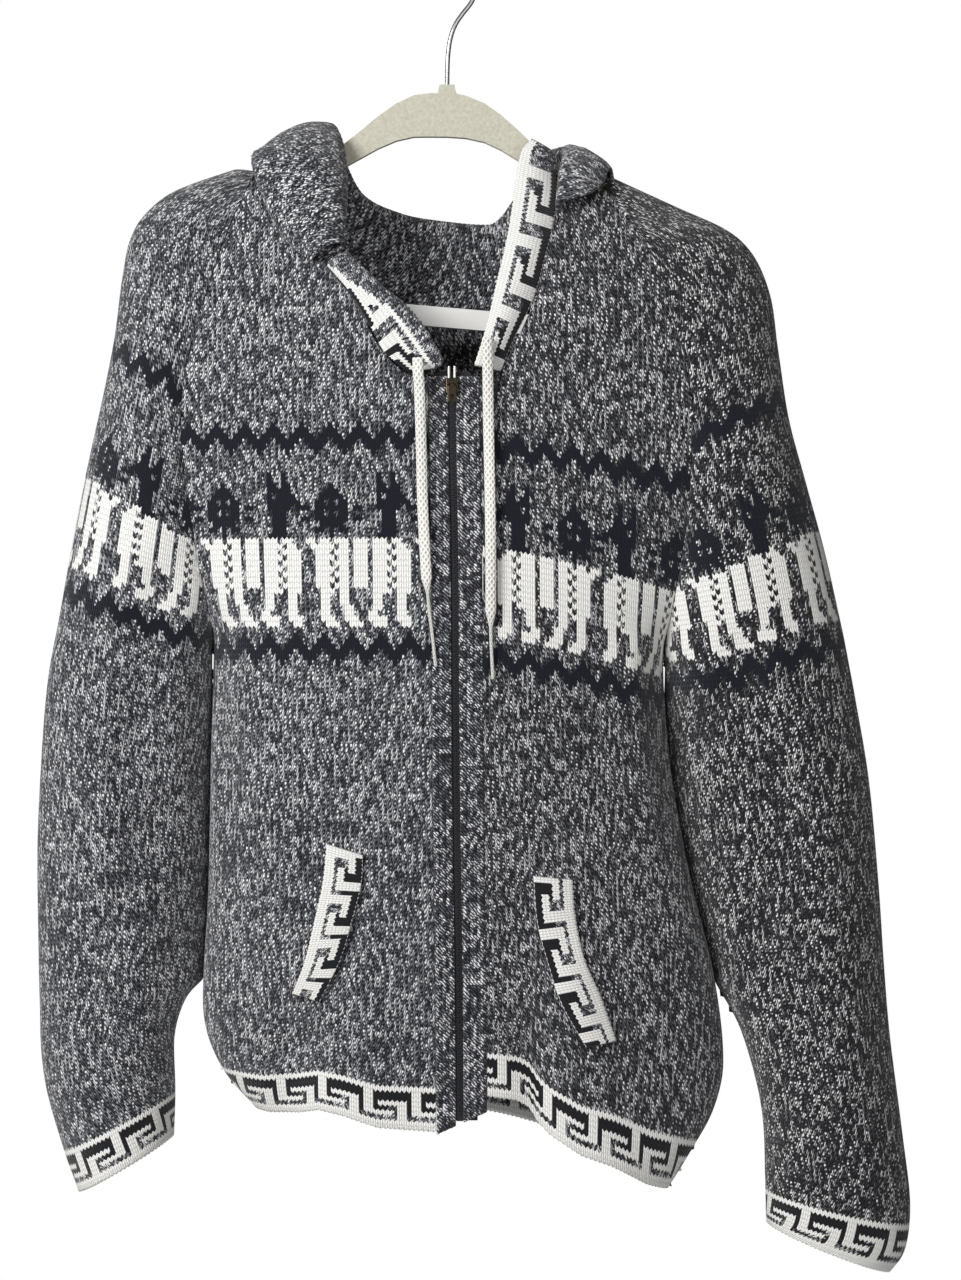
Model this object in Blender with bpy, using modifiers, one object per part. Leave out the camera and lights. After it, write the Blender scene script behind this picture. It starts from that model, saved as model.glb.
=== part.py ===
"""Knitted hooded zip cardigan hanging on a flocked hanger.

Metres, +Z up. The origin is where the hanger's hook hangs on a rail. The wearer's
right is at -X, the front faces -Y. Heights in the tables are drops below the
origin. Tables are in millimetres, one row for each section.
"""
import math

import bmesh
import bpy
import numpy as np
from mathutils import Vector
from mathutils.bvhtree import BVHTree

MM = 0.001
WALL = 3.0                # thickness of the knitted cloth
CASING_WALL = 5.0         # doubled cloth of the hood's casing
SEAM_GAP = 0.3            # clear space between two sewn pieces
HALF_GAP = SEAM_GAP / 2 + 0.02
SECTION_POWER = 2.3       # 2 is an ellipse, more is flatter in front

ZIP_TOP = 315.0           # drop of the zip's top end
ZIP_BOTTOM = 862.0
FACING_RIGHT = 17.0       # width of the ribbed strip on each side of the zip
FACING_LEFT = 20.0
CHAIN_WIDTH = 5.0
TAPE_WIDTH = 26.0
TAPE_WALL = 1.2
CHAIN_SINK = 0.8          # the chain lies this far behind the cloth's face
RIB_HEIGHT = 1.3
CORD_WIDTH = 8.0
SLIDER_DROP = 326.5
SLIDER_SIZE = (9.0, 3.0, 11.0)
PIN_RADIUS = 0.7
PIN_STAND = 2.0           # from the slider's face to the middle of the pin
PIN_RISE = 2.5
EAR_WALL = 1.2
KNUCKLE_RADIUS = 1.6
KNUCKLE_LENGTH = 3.4
PULL_SIZE = (6.5, 1.3, 12.0)
PULL_NECK = 2.4           # from the pin to the top of the blade

HOOD_STATIONS = 29
FOLD_ROUNDS = 6           # tries at thinning a wall that crosses itself in a fold
FOLD_SHARE = 0.85         # thickness kept at each try
FRONT_ROWS = 24
FRONT_COLUMNS = 8
BACK_COLUMNS = 14
SLEEVE_ROUND = 18
RIB_COUNT = 3
NECK_ROWS = 10            # rows of the back that follow its neckline

# Sides of the body: raglan seam down to the underarm, then the side seam.
# drop below the origin, x of the seam, half depth there
RIGHT_SIDE = (
    (157.0, -139.0, 12.0),
    (192.0, -155.0, 25.0),
    (254.0, -176.0, 37.0),
    (346.0, -195.0, 42.0),
    (437.0, -186.0, 36.0),
    (485.0, -178.0, 22.0),
    (515.0, -175.0, 0.0),
    (600.0, -177.0, 0.0),
    (700.0, -179.0, 0.0),
    (781.0, -183.0, 0.0),
    (811.0, -178.0, 0.0),
    (838.0, -164.0, 0.0),
    (860.0, -144.0, 0.0),
)
LEFT_SIDE = (
    (168.0, 115.0, 12.0),
    (215.0, 144.0, 27.0),
    (250.0, 160.0, 37.0),
    (294.0, 171.0, 42.0),
    (346.0, 181.0, 42.0),
    (437.0, 175.0, 36.0),
    (490.0, 167.0, 22.0),
    (523.0, 162.0, 0.0),
    (602.0, 167.0, 0.0),
    (684.0, 181.0, 0.0),
    (763.0, 200.0, 0.0),
    (827.0, 207.0, 0.0),
    (864.0, 199.0, 0.0),
    (893.0, 183.0, 0.0),
    (922.0, 165.0, 0.0),
)
# Middle of the body: drop, x of the zip line, half depth
MIDDLE = (
    (157.0, 2.0, 14.0),
    (192.0, 2.5, 29.0),
    (234.0, 3.0, 42.0),
    (294.0, 4.0, 51.0),
    (361.0, 4.5, 56.0),
    (451.0, 6.0, 60.0),
    (600.0, 7.0, 60.0),
    (750.0, 9.0, 62.0),
    (871.0, 10.0, 58.0),
)
# How far a knitted row drops from the zip to each side: drop at the zip, right, left
ROW_FALL = (
    (157.0, 0.0, 6.0),
    (300.0, 0.0, 17.0),
    (361.0, 0.0, 24.0),
    (520.0, 0.0, 22.0),
    (700.0, -2.0, 30.0),
    (800.0, -6.0, 42.0),
    (872.0, -11.0, 50.0),
)
# Front neckline: drop, x on the right front, x on the left front
NECKLINE = (
    (162.0, -137.0, 112.0),
    (182.0, -131.0, 96.0),
    (208.0, -119.0, 79.0),
    (231.0, -97.0, 73.0),
    (254.0, -74.0, 67.5),
    (277.0, -60.0, 58.5),
    (302.0, -46.0, 46.5),
    (319.0, -28.0, 39.0),
)
# Back neckline: share from the right shoulder to the left one, drop
BACK_NECK = (
    (0.0, 162.0),
    (0.1, 195.0),
    (0.25, 236.0),
    (0.45, 264.0),
    (0.6, 266.0),
    (0.8, 240.0),
    (0.93, 200.0),
    (1.0, 172.0),
)
ARM_GAP = 1.2              # least space between a sleeve and the body's side below the arm
ARM_SETBACK = 8.0          # how far behind the side seam a sleeve touches it
ARM_CONTACT = (530.0, 575.0, 745.0, 800.0)  # drops where the setback starts, is full, ends
# Right sleeve: outer x, outer drop, inner x, inner drop, half depth.
# Down to the underarm the inner edge is the raglan seam, found from its drop.
RIGHT_SLEEVE = (
    (-143.0, 154.0, None, 157.0, 13.0),
    (-202.0, 174.0, None, 177.0, 20.0),
    (-224.0, 190.0, None, 195.0, 27.0),
    (-237.0, 210.0, None, 222.0, 34.0),
    (-243.0, 238.0, None, 255.0, 40.0),
    (-249.0, 285.0, None, 308.0, 46.0),
    (-258.0, 331.0, None, 362.0, 49.0),
    (-268.0, 376.0, None, 412.0, 50.0),
    (-279.0, 430.0, None, 465.0, 49.0),
    (-290.0, 492.0, None, 515.0, 47.0),
    (-299.0, 541.0, -176.0, 556.0, 45.0),
    (-304.0, 601.0, -176.0, 610.0, 44.0),
    (-307.0, 676.0, -177.0, 672.0, 43.0),
    (-306.0, 751.0, -178.0, 727.0, 42.0),
    (-305.0, 790.0, -182.5, 762.0, 41.5),
    (-304.5, 811.0, -197.0, 781.0, 41.0),
    (-300.0, 848.0, -205.0, 815.0, 40.0),
    (-287.0, 893.0, -204.0, 850.0, 38.0),
    (-276.0, 924.0, -205.0, 883.0, 36.0),
)
LEFT_SLEEVE = (
    (119.0, 163.0, None, 168.0, 13.0),
    (174.0, 188.0, None, 196.0, 21.0),
    (209.0, 204.0, None, 216.0, 28.0),
    (228.0, 221.0, None, 238.0, 34.0),
    (241.0, 249.0, None, 266.0, 40.0),
    (248.0, 294.0, None, 312.0, 46.0),
    (256.0, 346.0, None, 364.0, 49.0),
    (268.0, 391.0, None, 412.0, 50.0),
    (283.0, 446.0, None, 468.0, 49.0),
    (297.0, 508.0, None, 523.0, 47.0),
    (306.0, 556.0, 164.0, 566.0, 45.0),
    (316.0, 616.0, 168.0, 626.0, 44.0),
    (323.0, 690.0, 180.0, 698.0, 43.0),
    (327.5, 757.0, 197.0, 757.0, 42.0),
    (332.0, 810.0, 221.0, 806.0, 41.0),
    (341.0, 880.0, 236.5, 868.0, 40.0),
    (347.0, 935.0, 238.5, 913.0, 38.0),
    (343.0, 968.0, 239.0, 938.0, 36.0),
    (332.0, 984.0, 239.5, 948.0, 35.0),
)
# Large folds: x and drop at the start, x and drop at the end, half width, height.
# A fold with a negative height is a trough.
FRONT_FOLDS = (
    (160.0, 535.0, 168.0, 620.0, 14.0, -9.0),
    (140.0, 520.0, 150.0, 640.0, 16.0, 5.0),
    (-172.0, 520.0, -160.0, 640.0, 16.0, -6.0),
    (-150.0, 560.0, -120.0, 760.0, 30.0, 4.0),
    (-210.0, 470.0, -235.0, 600.0, 18.0, -6.0),
    (-262.0, 600.0, -230.0, 760.0, 22.0, 5.0),
    (-215.0, 640.0, -262.0, 760.0, 14.0, -4.0),
    (215.0, 520.0, 250.0, 660.0, 20.0, -6.0),
    (270.0, 640.0, 300.0, 840.0, 24.0, 5.0),
    (225.0, 700.0, 272.0, 820.0, 14.0, -4.0),
    (90.0, 760.0, 120.0, 900.0, 26.0, 5.0),
    (60.0, 800.0, 66.0, 872.0, 15.0, -6.0),
    (-60.0, 780.0, -70.0, 880.0, 30.0, 5.0),
    (-110.0, 800.0, -118.0, 872.0, 16.0, -6.0),
)
BACK_FOLDS = (
    (-150.0, 520.0, -60.0, 660.0, 26.0, -7.0),
    (140.0, 530.0, 60.0, 680.0, 26.0, -7.0),
    (-90.0, 620.0, -84.0, 870.0, 30.0, 6.0),
    (20.0, 560.0, 12.0, 875.0, 32.0, -6.0),
    (105.0, 650.0, 120.0, 890.0, 28.0, 6.0),
    (-235.0, 480.0, -262.0, 700.0, 22.0, -6.0),
    (230.0, 520.0, 285.0, 760.0, 24.0, -6.0),
)
# Hood, one row for each section round the neck from the left front to the right
# front. Each cell is x, y, drop: neck seam, ridge, outer turn, fall, bottom, back, rim.
HOOD = (
    ((84, -30, 196), (82, -34, 192), (85, -36, 189), (91, -36, 187),
     (98, -35, 185), (104, -33, 183), (108, -31, 181)),
    ((89, -24, 184), (85, -22, 168), (89, -24, 160), (96, -27, 160),
     (104, -29, 163), (111, -28, 168), (116, -26, 173)),
    ((104, -8, 167), (88, -8, 151), (92, -8, 145), (100, -10, 146),
     (109, -12, 151), (117, -14, 157), (121, -15, 162)),
    ((108, 4, 162), (87, 5, 147), (92, 10, 141), (105, 14, 147),
     (120, 20, 162), (125, 25, 172), (124, 29, 166)),
    ((108, 34.3, 225.5), (66, 20, 151), (80, 28, 147), (105, 38, 178),
     (124, 47, 236), (122, 57, 212), (104, 52, 160)),
    ((78, 42.6, 251.6), (48, 40, 182), (60, 50, 179), (88, 61, 250),
     (100, 71, 342), (98, 86, 292), (78, 80, 206)),
    ((40, 45.8, 264.3), (30, 51, 194), (34, 61, 194), (48, 73, 310),
     (54, 81, 418), (52, 99, 350), (44, 90, 232)),
    ((-2, 46, 264.2), (-2, 53, 192), (-2, 63, 191), (-2, 76, 325),
     (-2, 84, 440), (-2, 102, 366), (-2, 93, 240)),
    ((-50, 43.6, 254.2), (-36, 48, 187), (-42, 58, 185), (-56, 72, 305),
     (-62, 81, 415), (-60, 98, 346), (-54, 89, 226)),
    ((-98, 36.4, 225.8), (-66, 36, 174), (-76, 46, 170), (-102, 60, 240),
     (-112, 71, 335), (-110, 85, 285), (-92, 78, 196)),
    ((-128, 23, 186), (-82, 18, 140), (-96, 25, 136), (-120, 38, 168),
     (-140, 49, 230), (-138, 58, 208), (-120, 50, 152)),
    ((-131, 0, 151), (-84, 0, 129), (-102, 3, 125), (-124, 6, 133),
     (-141, 8, 146), (-145, 12, 146), (-141, 14, 139)),
    ((-118, -22, 186), (-78, -16, 148), (-92, -24, 140), (-116, -33, 148),
     (-136, -38, 161), (-140, -37, 167), (-137, -34, 172)),
    ((-104, -34, 206), (-75, -33, 184), (-80, -41, 178), (-97, -48, 183),
     (-116, -48, 198), (-121, -47, 206), (-118, -45, 211)),
    ((-84, -43, 226), (-74, -46, 222), (-76, -50, 217), (-84, -53, 217),
     (-94, -54, 223), (-99, -53, 228), (-97, -51, 232)),
)
CASING_WIDTH = 30.0
CASING_STATIONS = (8, 19)     # the casing follows the hood's rim between these sections
# Casing on the left front, upwards: seam x and drop, free edge x, y and drop,
# crown height, lean of the seam edge
LEFT_CASING = (
    (40.0, 315.5, 20.5, -58.0, 311.0, 2.0, 0.0),
    (49.0, 293.0, 29.0, -55.0, 283.0, 4.0, 0.0),
    (64.5, 260.0, 36.5, -49.0, 250.0, 5.0, 0.0),
    (72.5, 231.0, 43.0, -41.0, 222.0, 5.0, 0.0),
    (79.0, 204.0, 47.5, -32.0, 196.0, 5.0, 0.0),
    (83.0, 176.0, 51.5, -21.0, 166.0, 5.0, 2.0),
    (82.0, 156.0, 55.5, -14.0, 147.0, 5.0, 3.0),
    (80.0, 147.0, 63.0, -11.0, 137.5, 3.0, 3.0),
)
RIGHT_CASING_LIFT = 1.5        # height of its seam edge over the front
RIGHT_CASING_RISE = 3.0        # further rise to the white line
RIGHT_CASING_CROWN = 2.0
RIGHT_CASING_SHIFT = 0.4
# Casing on the right front, upwards: seam x and drop, edge line x and drop,
# rolled inner edge x, y and drop
RIGHT_CASING = (
    (-28.0, 316.0, -6.5, 313.0, -1.5, -58.0, 308.0),
    (-38.0, 308.5, -14.0, 299.0, -8.5, -58.0, 295.0),
    (-46.5, 300.0, -24.0, 284.0, -18.5, -57.0, 279.0),
    (-54.5, 285.5, -38.0, 271.0, -31.0, -54.0, 265.0),
    (-63.5, 269.0, -53.0, 261.0, -45.0, -51.0, 253.5),
    (-74.0, 253.0, -69.0, 249.5, -59.0, -48.0, 240.0),
    (-88.0, 237.0, -87.0, 233.0, -73.0, -45.0, 226.0),
)
# Pocket welts: x and drop of the opening edge, x and drop of the sewn edge
RIGHT_WELT = (
    (-87.4, 660.0, -60.4, 668.0),
    (-90.2, 688.0, -61.8, 690.0),
    (-96.0, 715.0, -68.5, 716.0),
    (-103.5, 746.0, -76.5, 743.0),
    (-112.4, 769.0, -92.2, 775.0),
)
LEFT_WELT = (
    (92.4, 686.0, 63.3, 683.0),
    (94.5, 713.0, 66.0, 716.0),
    (101.0, 743.0, 73.8, 746.0),
    (112.5, 769.5, 84.0, 776.0),
    (124.4, 803.3, 101.9, 807.6),
)
# Free ends of the drawstring: x, clearance in front of the cloth, drop
RIGHT_DRAWSTRING = (
    (-20.5, 13.0, 306.5),
    (-20.3, 13.0, 316.0),
    (-19.2, 9.5, 332.0),
    (-18.0, 6.0, 372.0),
    (-17.0, 5.7, 412.0),
    (-15.0, 5.7, 452.0),
    (-13.0, 5.7, 482.0),
    (-10.0, 5.7, 508.0),
    (-7.5, 5.7, 531.0),
)
LEFT_DRAWSTRING = (
    (30.0, 11.3, 292.0),
    (30.2, 10.9, 302.0),
    (30.4, 9.0, 322.0),
    (31.0, 6.0, 362.0),
    (32.0, 5.7, 412.0),
    (32.5, 5.7, 462.0),
    (32.5, 5.7, 502.0),
    (34.0, 5.7, 540.0),
)
# Hanger: centre line x and drop, height of the bar there
HANGER_ARM = (
    (-206.0, 188.0, 11.0),
    (-190.0, 181.5, 14.0),
    (-150.0, 173.0, 15.0),
    (-110.0, 161.5, 15.5),
    (-80.0, 150.5, 17.0),
    (-52.0, 131.5, 24.0),
    (-25.0, 119.0, 31.0),
    (0.0, 118.0, 33.0),
    (28.0, 124.0, 29.0),
    (52.0, 140.0, 23.0),
    (75.0, 158.0, 17.0),
    (110.0, 176.5, 15.0),
    (150.0, 190.3, 15.0),
    (182.0, 202.3, 13.0),
    (196.0, 210.0, 11.0),
)
HANGER_DEPTH = 6.0
HANGER_BAR = ((-186.0, 254.2), (182.0, 285.4))
HANGER_BAR_HEIGHT = 15.0
HOOK_WIRE = 3.4
HOOK_RADIUS = 21.0
# Stem of the hook, x and drop, from the boss up to the start of the curl
HOOK_STEM = (
    (0.0, 95.2), (0.2, 84.0), (0.8, 72.0), (2.6, 60.0), (6.2, 50.0), (11.5, 42.0),
)

COLOURS = {
    "marl": ((0.105, 0.108, 0.118, 1.0), 0.95, 0.0),
    "key": ((0.30, 0.30, 0.31, 1.0), 0.95, 0.0),
    "white": ((0.86, 0.85, 0.81, 1.0), 0.9, 0.0),
    "tape": ((0.03, 0.03, 0.035, 1.0), 0.8, 0.0),
    "bronze": ((0.16, 0.13, 0.10, 1.0), 0.4, 0.9),
    "flock": ((0.55, 0.52, 0.44, 1.0), 1.0, 0.0),
    "steel": ((0.42, 0.42, 0.42, 1.0), 0.3, 1.0),
}


def clear_scene():
    for item in list(bpy.data.objects):
        bpy.data.objects.remove(item, do_unlink=True)


def smooth(rows, column, at):
    """Value of one column at a place in the first column, on a smooth curve."""
    keys = np.array([row[0] for row in rows], dtype=float)
    values = np.array([row[column] for row in rows], dtype=float)
    return hermite(keys, values, at)


def hermite(keys, values, at):
    steps = np.diff(keys)
    slopes = np.diff(values) / steps
    tangents = np.empty_like(values)
    tangents[0] = slopes[0]
    tangents[-1] = slopes[-1]
    for i in range(1, len(values) - 1):
        same_way = slopes[i - 1] * slopes[i] > 0
        low = min(abs(slopes[i - 1]), abs(slopes[i]))
        mean = (slopes[i - 1] + slopes[i]) / 2
        tangents[i] = math.copysign(min(abs(mean), 3 * low), mean) if same_way else 0.0
    place = np.clip(at, keys[0], keys[-1])
    i = int(np.clip(np.searchsorted(keys, place) - 1, 0, len(keys) - 2))
    t = (place - keys[i]) / steps[i]
    h00 = 2 * t ** 3 - 3 * t ** 2 + 1
    h10 = t ** 3 - 2 * t ** 2 + t
    return float(h00 * values[i] + h10 * steps[i] * tangents[i]
                 + (1 - h00) * values[i + 1]
                 + (t ** 3 - t ** 2) * steps[i] * tangents[i + 1])


def sample_rows(rows, count):
    """Rows of a table, read at evenly spaced places along it."""
    index = np.arange(len(rows), dtype=float)
    columns = list(zip(*rows))
    places = np.linspace(0, len(rows) - 1, count)
    return [tuple(hermite(index, np.array(c, dtype=float), p) for c in columns)
            for p in places]


def power_curve(share, power=SECTION_POWER):
    return max(0.0, 1 - min(1.0, abs(share)) ** power) ** (1 / power)


def fold_height(x, drop, folds):
    """Height of the large folds at a place on the cloth."""
    total = 0.0
    for x0, d0, x1, d1, half_width, height in folds:
        along = ((x - x0) * (x1 - x0) + (drop - d0) * (d1 - d0))
        length2 = (x1 - x0) ** 2 + (d1 - d0) ** 2
        t = along / length2
        nearest = min(1.0, max(0.0, t))
        away = math.hypot(x - x0 - nearest * (x1 - x0), drop - d0 - nearest * (d1 - d0))
        fade = max(0.0, 1 - (max(0.0, -t, t - 1) * math.sqrt(length2) / 60.0))
        total += height * fade * math.exp(-(away / half_width) ** 2)
    return total


def side_table(side):
    return RIGHT_SIDE if side < 0 else LEFT_SIDE


def body_depth(x, drop, side):
    """Half depth of the body at a place, before folds."""
    middle_x = smooth(MIDDLE, 1, drop)
    middle_depth = smooth(MIDDLE, 2, drop)
    table = side_table(side)
    side_x = smooth(table, 1, drop)
    side_depth = smooth(table, 2, drop)
    share = (x - middle_x) / (side_x - middle_x)
    turn = power_curve(side_depth / middle_depth)
    return middle_depth * power_curve(turn * min(1.0, max(0.0, share)))


def cloth_point(x, drop, side, face, fold_share=1.0):
    """Point on the body's outer face. face is -1 in front and 1 behind."""
    folds = FRONT_FOLDS if face < 0 else BACK_FOLDS
    depth = body_depth(x, drop, side) + fold_share * fold_height(x, drop, folds)
    depth = max(depth, HALF_GAP)
    return Vector((x, face * depth, -drop))


def row_drop(middle_drop, share, side):
    fall = smooth(ROW_FALL, 1 if side < 0 else 2, middle_drop)
    return middle_drop + fall * abs(share) ** 1.4


def body_row(middle_drop, side, face, shares):
    """Points of one knitted row from the zip line (share 0) to the side (share 1)."""
    table = side_table(side)
    side_drop = row_drop(middle_drop, 1.0, side)
    side_x = smooth(table, 1, side_drop)
    turn = power_curve(smooth(table, 2, side_drop) / smooth(MIDDLE, 2, middle_drop))
    points = []
    for share in shares:
        reach = math.sin(share * math.asin(min(1.0, turn))) / turn
        middle_x = smooth(MIDDLE, 1, middle_drop)
        x = middle_x + (side_x - middle_x) * reach
        edge_fade = min(1.0, (1 - share) * 4 + 0.15)
        points.append(cloth_point(x, row_drop(middle_drop, reach, side), side, face,
                                  edge_fade))
    return points


def grid_normals(grid, closed):
    """Unit normals of a grid of points, rows by columns."""
    array = np.array([[tuple(p) for p in row] for row in grid])
    along = np.gradient(array, axis=0)
    if closed:
        across = (np.roll(array, -1, axis=1) - np.roll(array, 1, axis=1)) / 2
    else:
        across = np.gradient(array, axis=1)
    normals = np.cross(across, along)
    lengths = np.linalg.norm(normals, axis=2, keepdims=True)
    return normals / np.maximum(lengths, 1e-9)


def inner_grid(grid, wall, closed, away_from=None):
    """The grid moved in by the wall, towards the hollow side."""
    normals = grid_normals(grid, closed)
    array = np.array([[tuple(p) for p in row] for row in grid])
    if away_from is not None:
        facing = np.einsum("ijk,ijk->ij", normals, array - np.array(away_from))
        if facing.mean() < 0:
            normals = -normals
    return array, array - normals * wall, normals


def crossing_points(mesh):
    """Numbers of the points at the faces where a wall crosses itself."""
    copy = mesh.copy()
    bmesh.ops.triangulate(copy, faces=copy.faces)
    copy.faces.ensure_lookup_table()
    tree = BVHTree.FromBMesh(copy)
    found = set()
    for a, b in tree.overlap(tree):
        first = {v.index for v in copy.faces[a].verts}
        second = {v.index for v in copy.faces[b].verts}
        if not first & second:
            found |= first | second
    copy.free()
    return found


def thin_folds(mesh, count):
    """Draws the wall's two sides together where a tight fold makes them cross."""
    mesh.verts.index_update()
    mesh.verts.ensure_lookup_table()
    for _ in range(FOLD_ROUNDS):
        found = {index % count for index in crossing_points(mesh)}
        for index in sorted(found):
            outer, inner = mesh.verts[index], mesh.verts[index + count]
            middle = (outer.co + inner.co) / 2
            outer.co = middle + (outer.co - middle) * FOLD_SHARE
            inner.co = middle + (inner.co - middle) * FOLD_SHARE


def wall_mesh(name, outer, inner, closed, material):
    """Closed wall between two grids of points in millimetres."""
    rows, columns = outer.shape[:2]
    mesh = bmesh.new()
    out = [[mesh.verts.new(Vector(outer[i, j]) * MM) for j in range(columns)]
           for i in range(rows)]
    inn = [[mesh.verts.new(Vector(inner[i, j]) * MM) for j in range(columns)]
           for i in range(rows)]
    last = columns if closed else columns - 1
    for i in range(rows - 1):
        for j in range(last):
            k = (j + 1) % columns
            mesh.faces.new((out[i][j], out[i][k], out[i + 1][k], out[i + 1][j]))
            mesh.faces.new((inn[i][j], inn[i + 1][j], inn[i + 1][k], inn[i][k]))
    for j in range(last):
        k = (j + 1) % columns
        mesh.faces.new((out[0][k], out[0][j], inn[0][j], inn[0][k]))
        mesh.faces.new((out[-1][j], out[-1][k], inn[-1][k], inn[-1][j]))
    if not closed:
        for i in range(rows - 1):
            mesh.faces.new((out[i][0], out[i + 1][0], inn[i + 1][0], inn[i][0]))
            mesh.faces.new((out[i + 1][-1], out[i][-1], inn[i][-1], inn[i + 1][-1]))
    thin_folds(mesh, rows * columns)
    bmesh.ops.recalc_face_normals(mesh, faces=mesh.faces)
    data = bpy.data.meshes.new(name)
    mesh.to_mesh(data)
    mesh.free()
    data.shade_smooth()
    return add_object(name, data, material)


def add_object(name, data, material):
    item = bpy.data.objects.new(name, data)
    data.materials.append(material)
    COLLECTION.objects.link(item)
    return item


def make_material(name):
    colour, roughness, metallic = COLOURS[name]
    material = bpy.data.materials.new(name)
    material.use_nodes = True
    shader = material.node_tree.nodes["Principled BSDF"]
    shader.inputs["Base Color"].default_value = colour
    shader.inputs["Roughness"].default_value = roughness
    shader.inputs["Metallic"].default_value = metallic
    return material


def seam_steer(normals, edge_column, direction, spread=2):
    """Turn the wall's direction near a seam to the one that both pieces share."""
    columns = normals.shape[1]
    for step in range(spread):
        weight = 1 - step / spread
        j = edge_column + step if edge_column == 0 else columns - 1 - step
        mixed = normals[:, j] * (1 - weight) + direction * weight
        normals[:, j] = mixed / np.linalg.norm(mixed, axis=1, keepdims=True)
    return normals


def seam_direction(drops, side, face, into_body):
    """Outward direction at the side seam for rows at these drops."""
    table = side_table(side)
    result = []
    for drop in drops:
        share = min(1.0, smooth(table, 2, drop) / 24.0)
        sideways = (1 - share) * (side if into_body else -side)
        result.append((sideways, face * share, 0.0))
    array = np.array(result)
    return array / np.linalg.norm(array, axis=1, keepdims=True)


def neck_x(drop, side):
    return smooth(NECKLINE, 1 if side < 0 else 2, drop)


def front_rows(side):
    """Drops at the zip line of the rows of one front, top to hem."""
    top = 157.0 if side < 0 else 163.0
    upper = list(np.linspace(top + 5.0, ZIP_TOP + 3.0, 9))
    lower = list(np.linspace(ZIP_TOP + 3.0, 871.0, FRONT_ROWS - 8))
    return upper + lower[1:]


def make_front(side, material):
    """One front: from the neckline or the ribbed strip out to the side."""
    name = "front_right" if side < 0 else "front_left"
    facing = FACING_RIGHT if side < 0 else FACING_LEFT
    grid = []
    drops = []
    for middle_drop in front_rows(side):
        side_drop = row_drop(middle_drop, 1.0, side)
        side_x = smooth(side_table(side), 1, side_drop)
        middle_x = smooth(MIDDLE, 1, middle_drop)
        turn = power_curve(smooth(side_table(side), 2, side_drop)
                           / smooth(MIDDLE, 2, middle_drop))
        start_x = middle_x + side * (facing + SEAM_GAP)
        if middle_drop < NECKLINE[-1][0]:
            start_x = neck_x(middle_drop, side)
            for _ in range(3):
                share = (start_x - middle_x) / (side_x - middle_x)
                start_x = neck_x(row_drop(middle_drop, share, side), side)
        start = math.asin(min(1.0, abs((start_x - middle_x) / (side_x - middle_x)) * turn))
        start /= math.asin(min(1.0, turn))
        end = seam_end(side, side_drop, abs(side_x - middle_x))
        shares = np.linspace(min(start, end - 0.03), end, FRONT_COLUMNS + 1)
        grid.append(body_row(middle_drop, side, -1, shares))
        drops.append(side_drop)
    outer, _, normals = inner_grid(grid, WALL, False, (0.0, 60.0, -500.0))
    direction = seam_direction(drops, side, -1, True)
    normals = seam_steer(normals, FRONT_COLUMNS, direction)
    normals = seam_steer(normals, 0, np.array([(0.0, -1.0, 0.0)] * len(drops)))
    inner = clear_of_middle(outer - normals * WALL, -1)
    return wall_mesh(name, outer, inner, False, material)


def seam_end(side, side_drop, width):
    """Share at the edge of a body panel: short of the raglan seam, full at the side."""
    on_raglan = smooth(side_table(side), 2, side_drop) > 0
    return 1 - HALF_GAP / width if on_raglan else 1.0


def clear_of_middle(points, face):
    """Keep the inner face of a front or the back on its own side of the side seam."""
    points[:, :, 1] = face * np.maximum(face * points[:, :, 1], HALF_GAP)
    return points


def back_neck_drop(share):
    return smooth(BACK_NECK, 1, share)


def make_back(material):
    """Back, from side to side; its rows match the fronts' at the seams."""
    right_drops = front_rows(-1)
    left_drops = front_rows(1)
    grid = []
    sides = []
    for right_drop, left_drop in zip(right_drops, left_drops):
        row = []
        for column in range(BACK_COLUMNS + 1):
            across = column / BACK_COLUMNS
            side = -1 if across < 0.5 else 1
            share = abs(across - 0.5) * 2
            own_drop = right_drop if side < 0 else left_drop
            middle = (right_drop + left_drop) / 2
            middle_drop = middle + (own_drop - middle) * share
            share = min(share, seam_end(side, row_drop(own_drop, 1.0, side), 180.0))
            row.append(body_row(middle_drop, side, 1, [share])[0])
        grid.append(row)
        sides.append((row_drop(right_drop, 1.0, -1), row_drop(left_drop, 1.0, 1)))
    array = np.array([[tuple(p) for p in row] for row in grid])
    array = shape_back_neck(array)
    grid = [[Vector(p) for p in row] for row in array]
    outer, _, normals = inner_grid(grid, WALL, False, (0.0, -60.0, -500.0))
    normals = seam_steer(normals, 0, seam_direction([s[0] for s in sides], -1, 1, True))
    normals = seam_steer(normals, BACK_COLUMNS,
                         seam_direction([s[1] for s in sides], 1, 1, True))
    inner = clear_of_middle(outer - normals * WALL, 1)
    return wall_mesh("back", outer, inner, False, material)


def shape_back_neck(array):
    """Squeeze the rows of the back down below its neckline, column by column."""
    columns = array.shape[1]
    shaped = array.copy()
    for j in range(1, columns - 1):
        share = j / (columns - 1)
        top = -array[0, j, 2]
        wanted = back_neck_drop(share)
        low = -array[NECK_ROWS, j, 2]
        for i in range(NECK_ROWS):
            drop = wanted + (-array[i, j, 2] - top) * (low - wanted) / (low - top)
            heights = array[:, j, 2]
            for axis in (0, 1):
                shaped[i, j, axis] = np.interp(drop, -heights, array[:, j, axis])
            shaped[i, j, 2] = -drop
    return shaped


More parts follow.
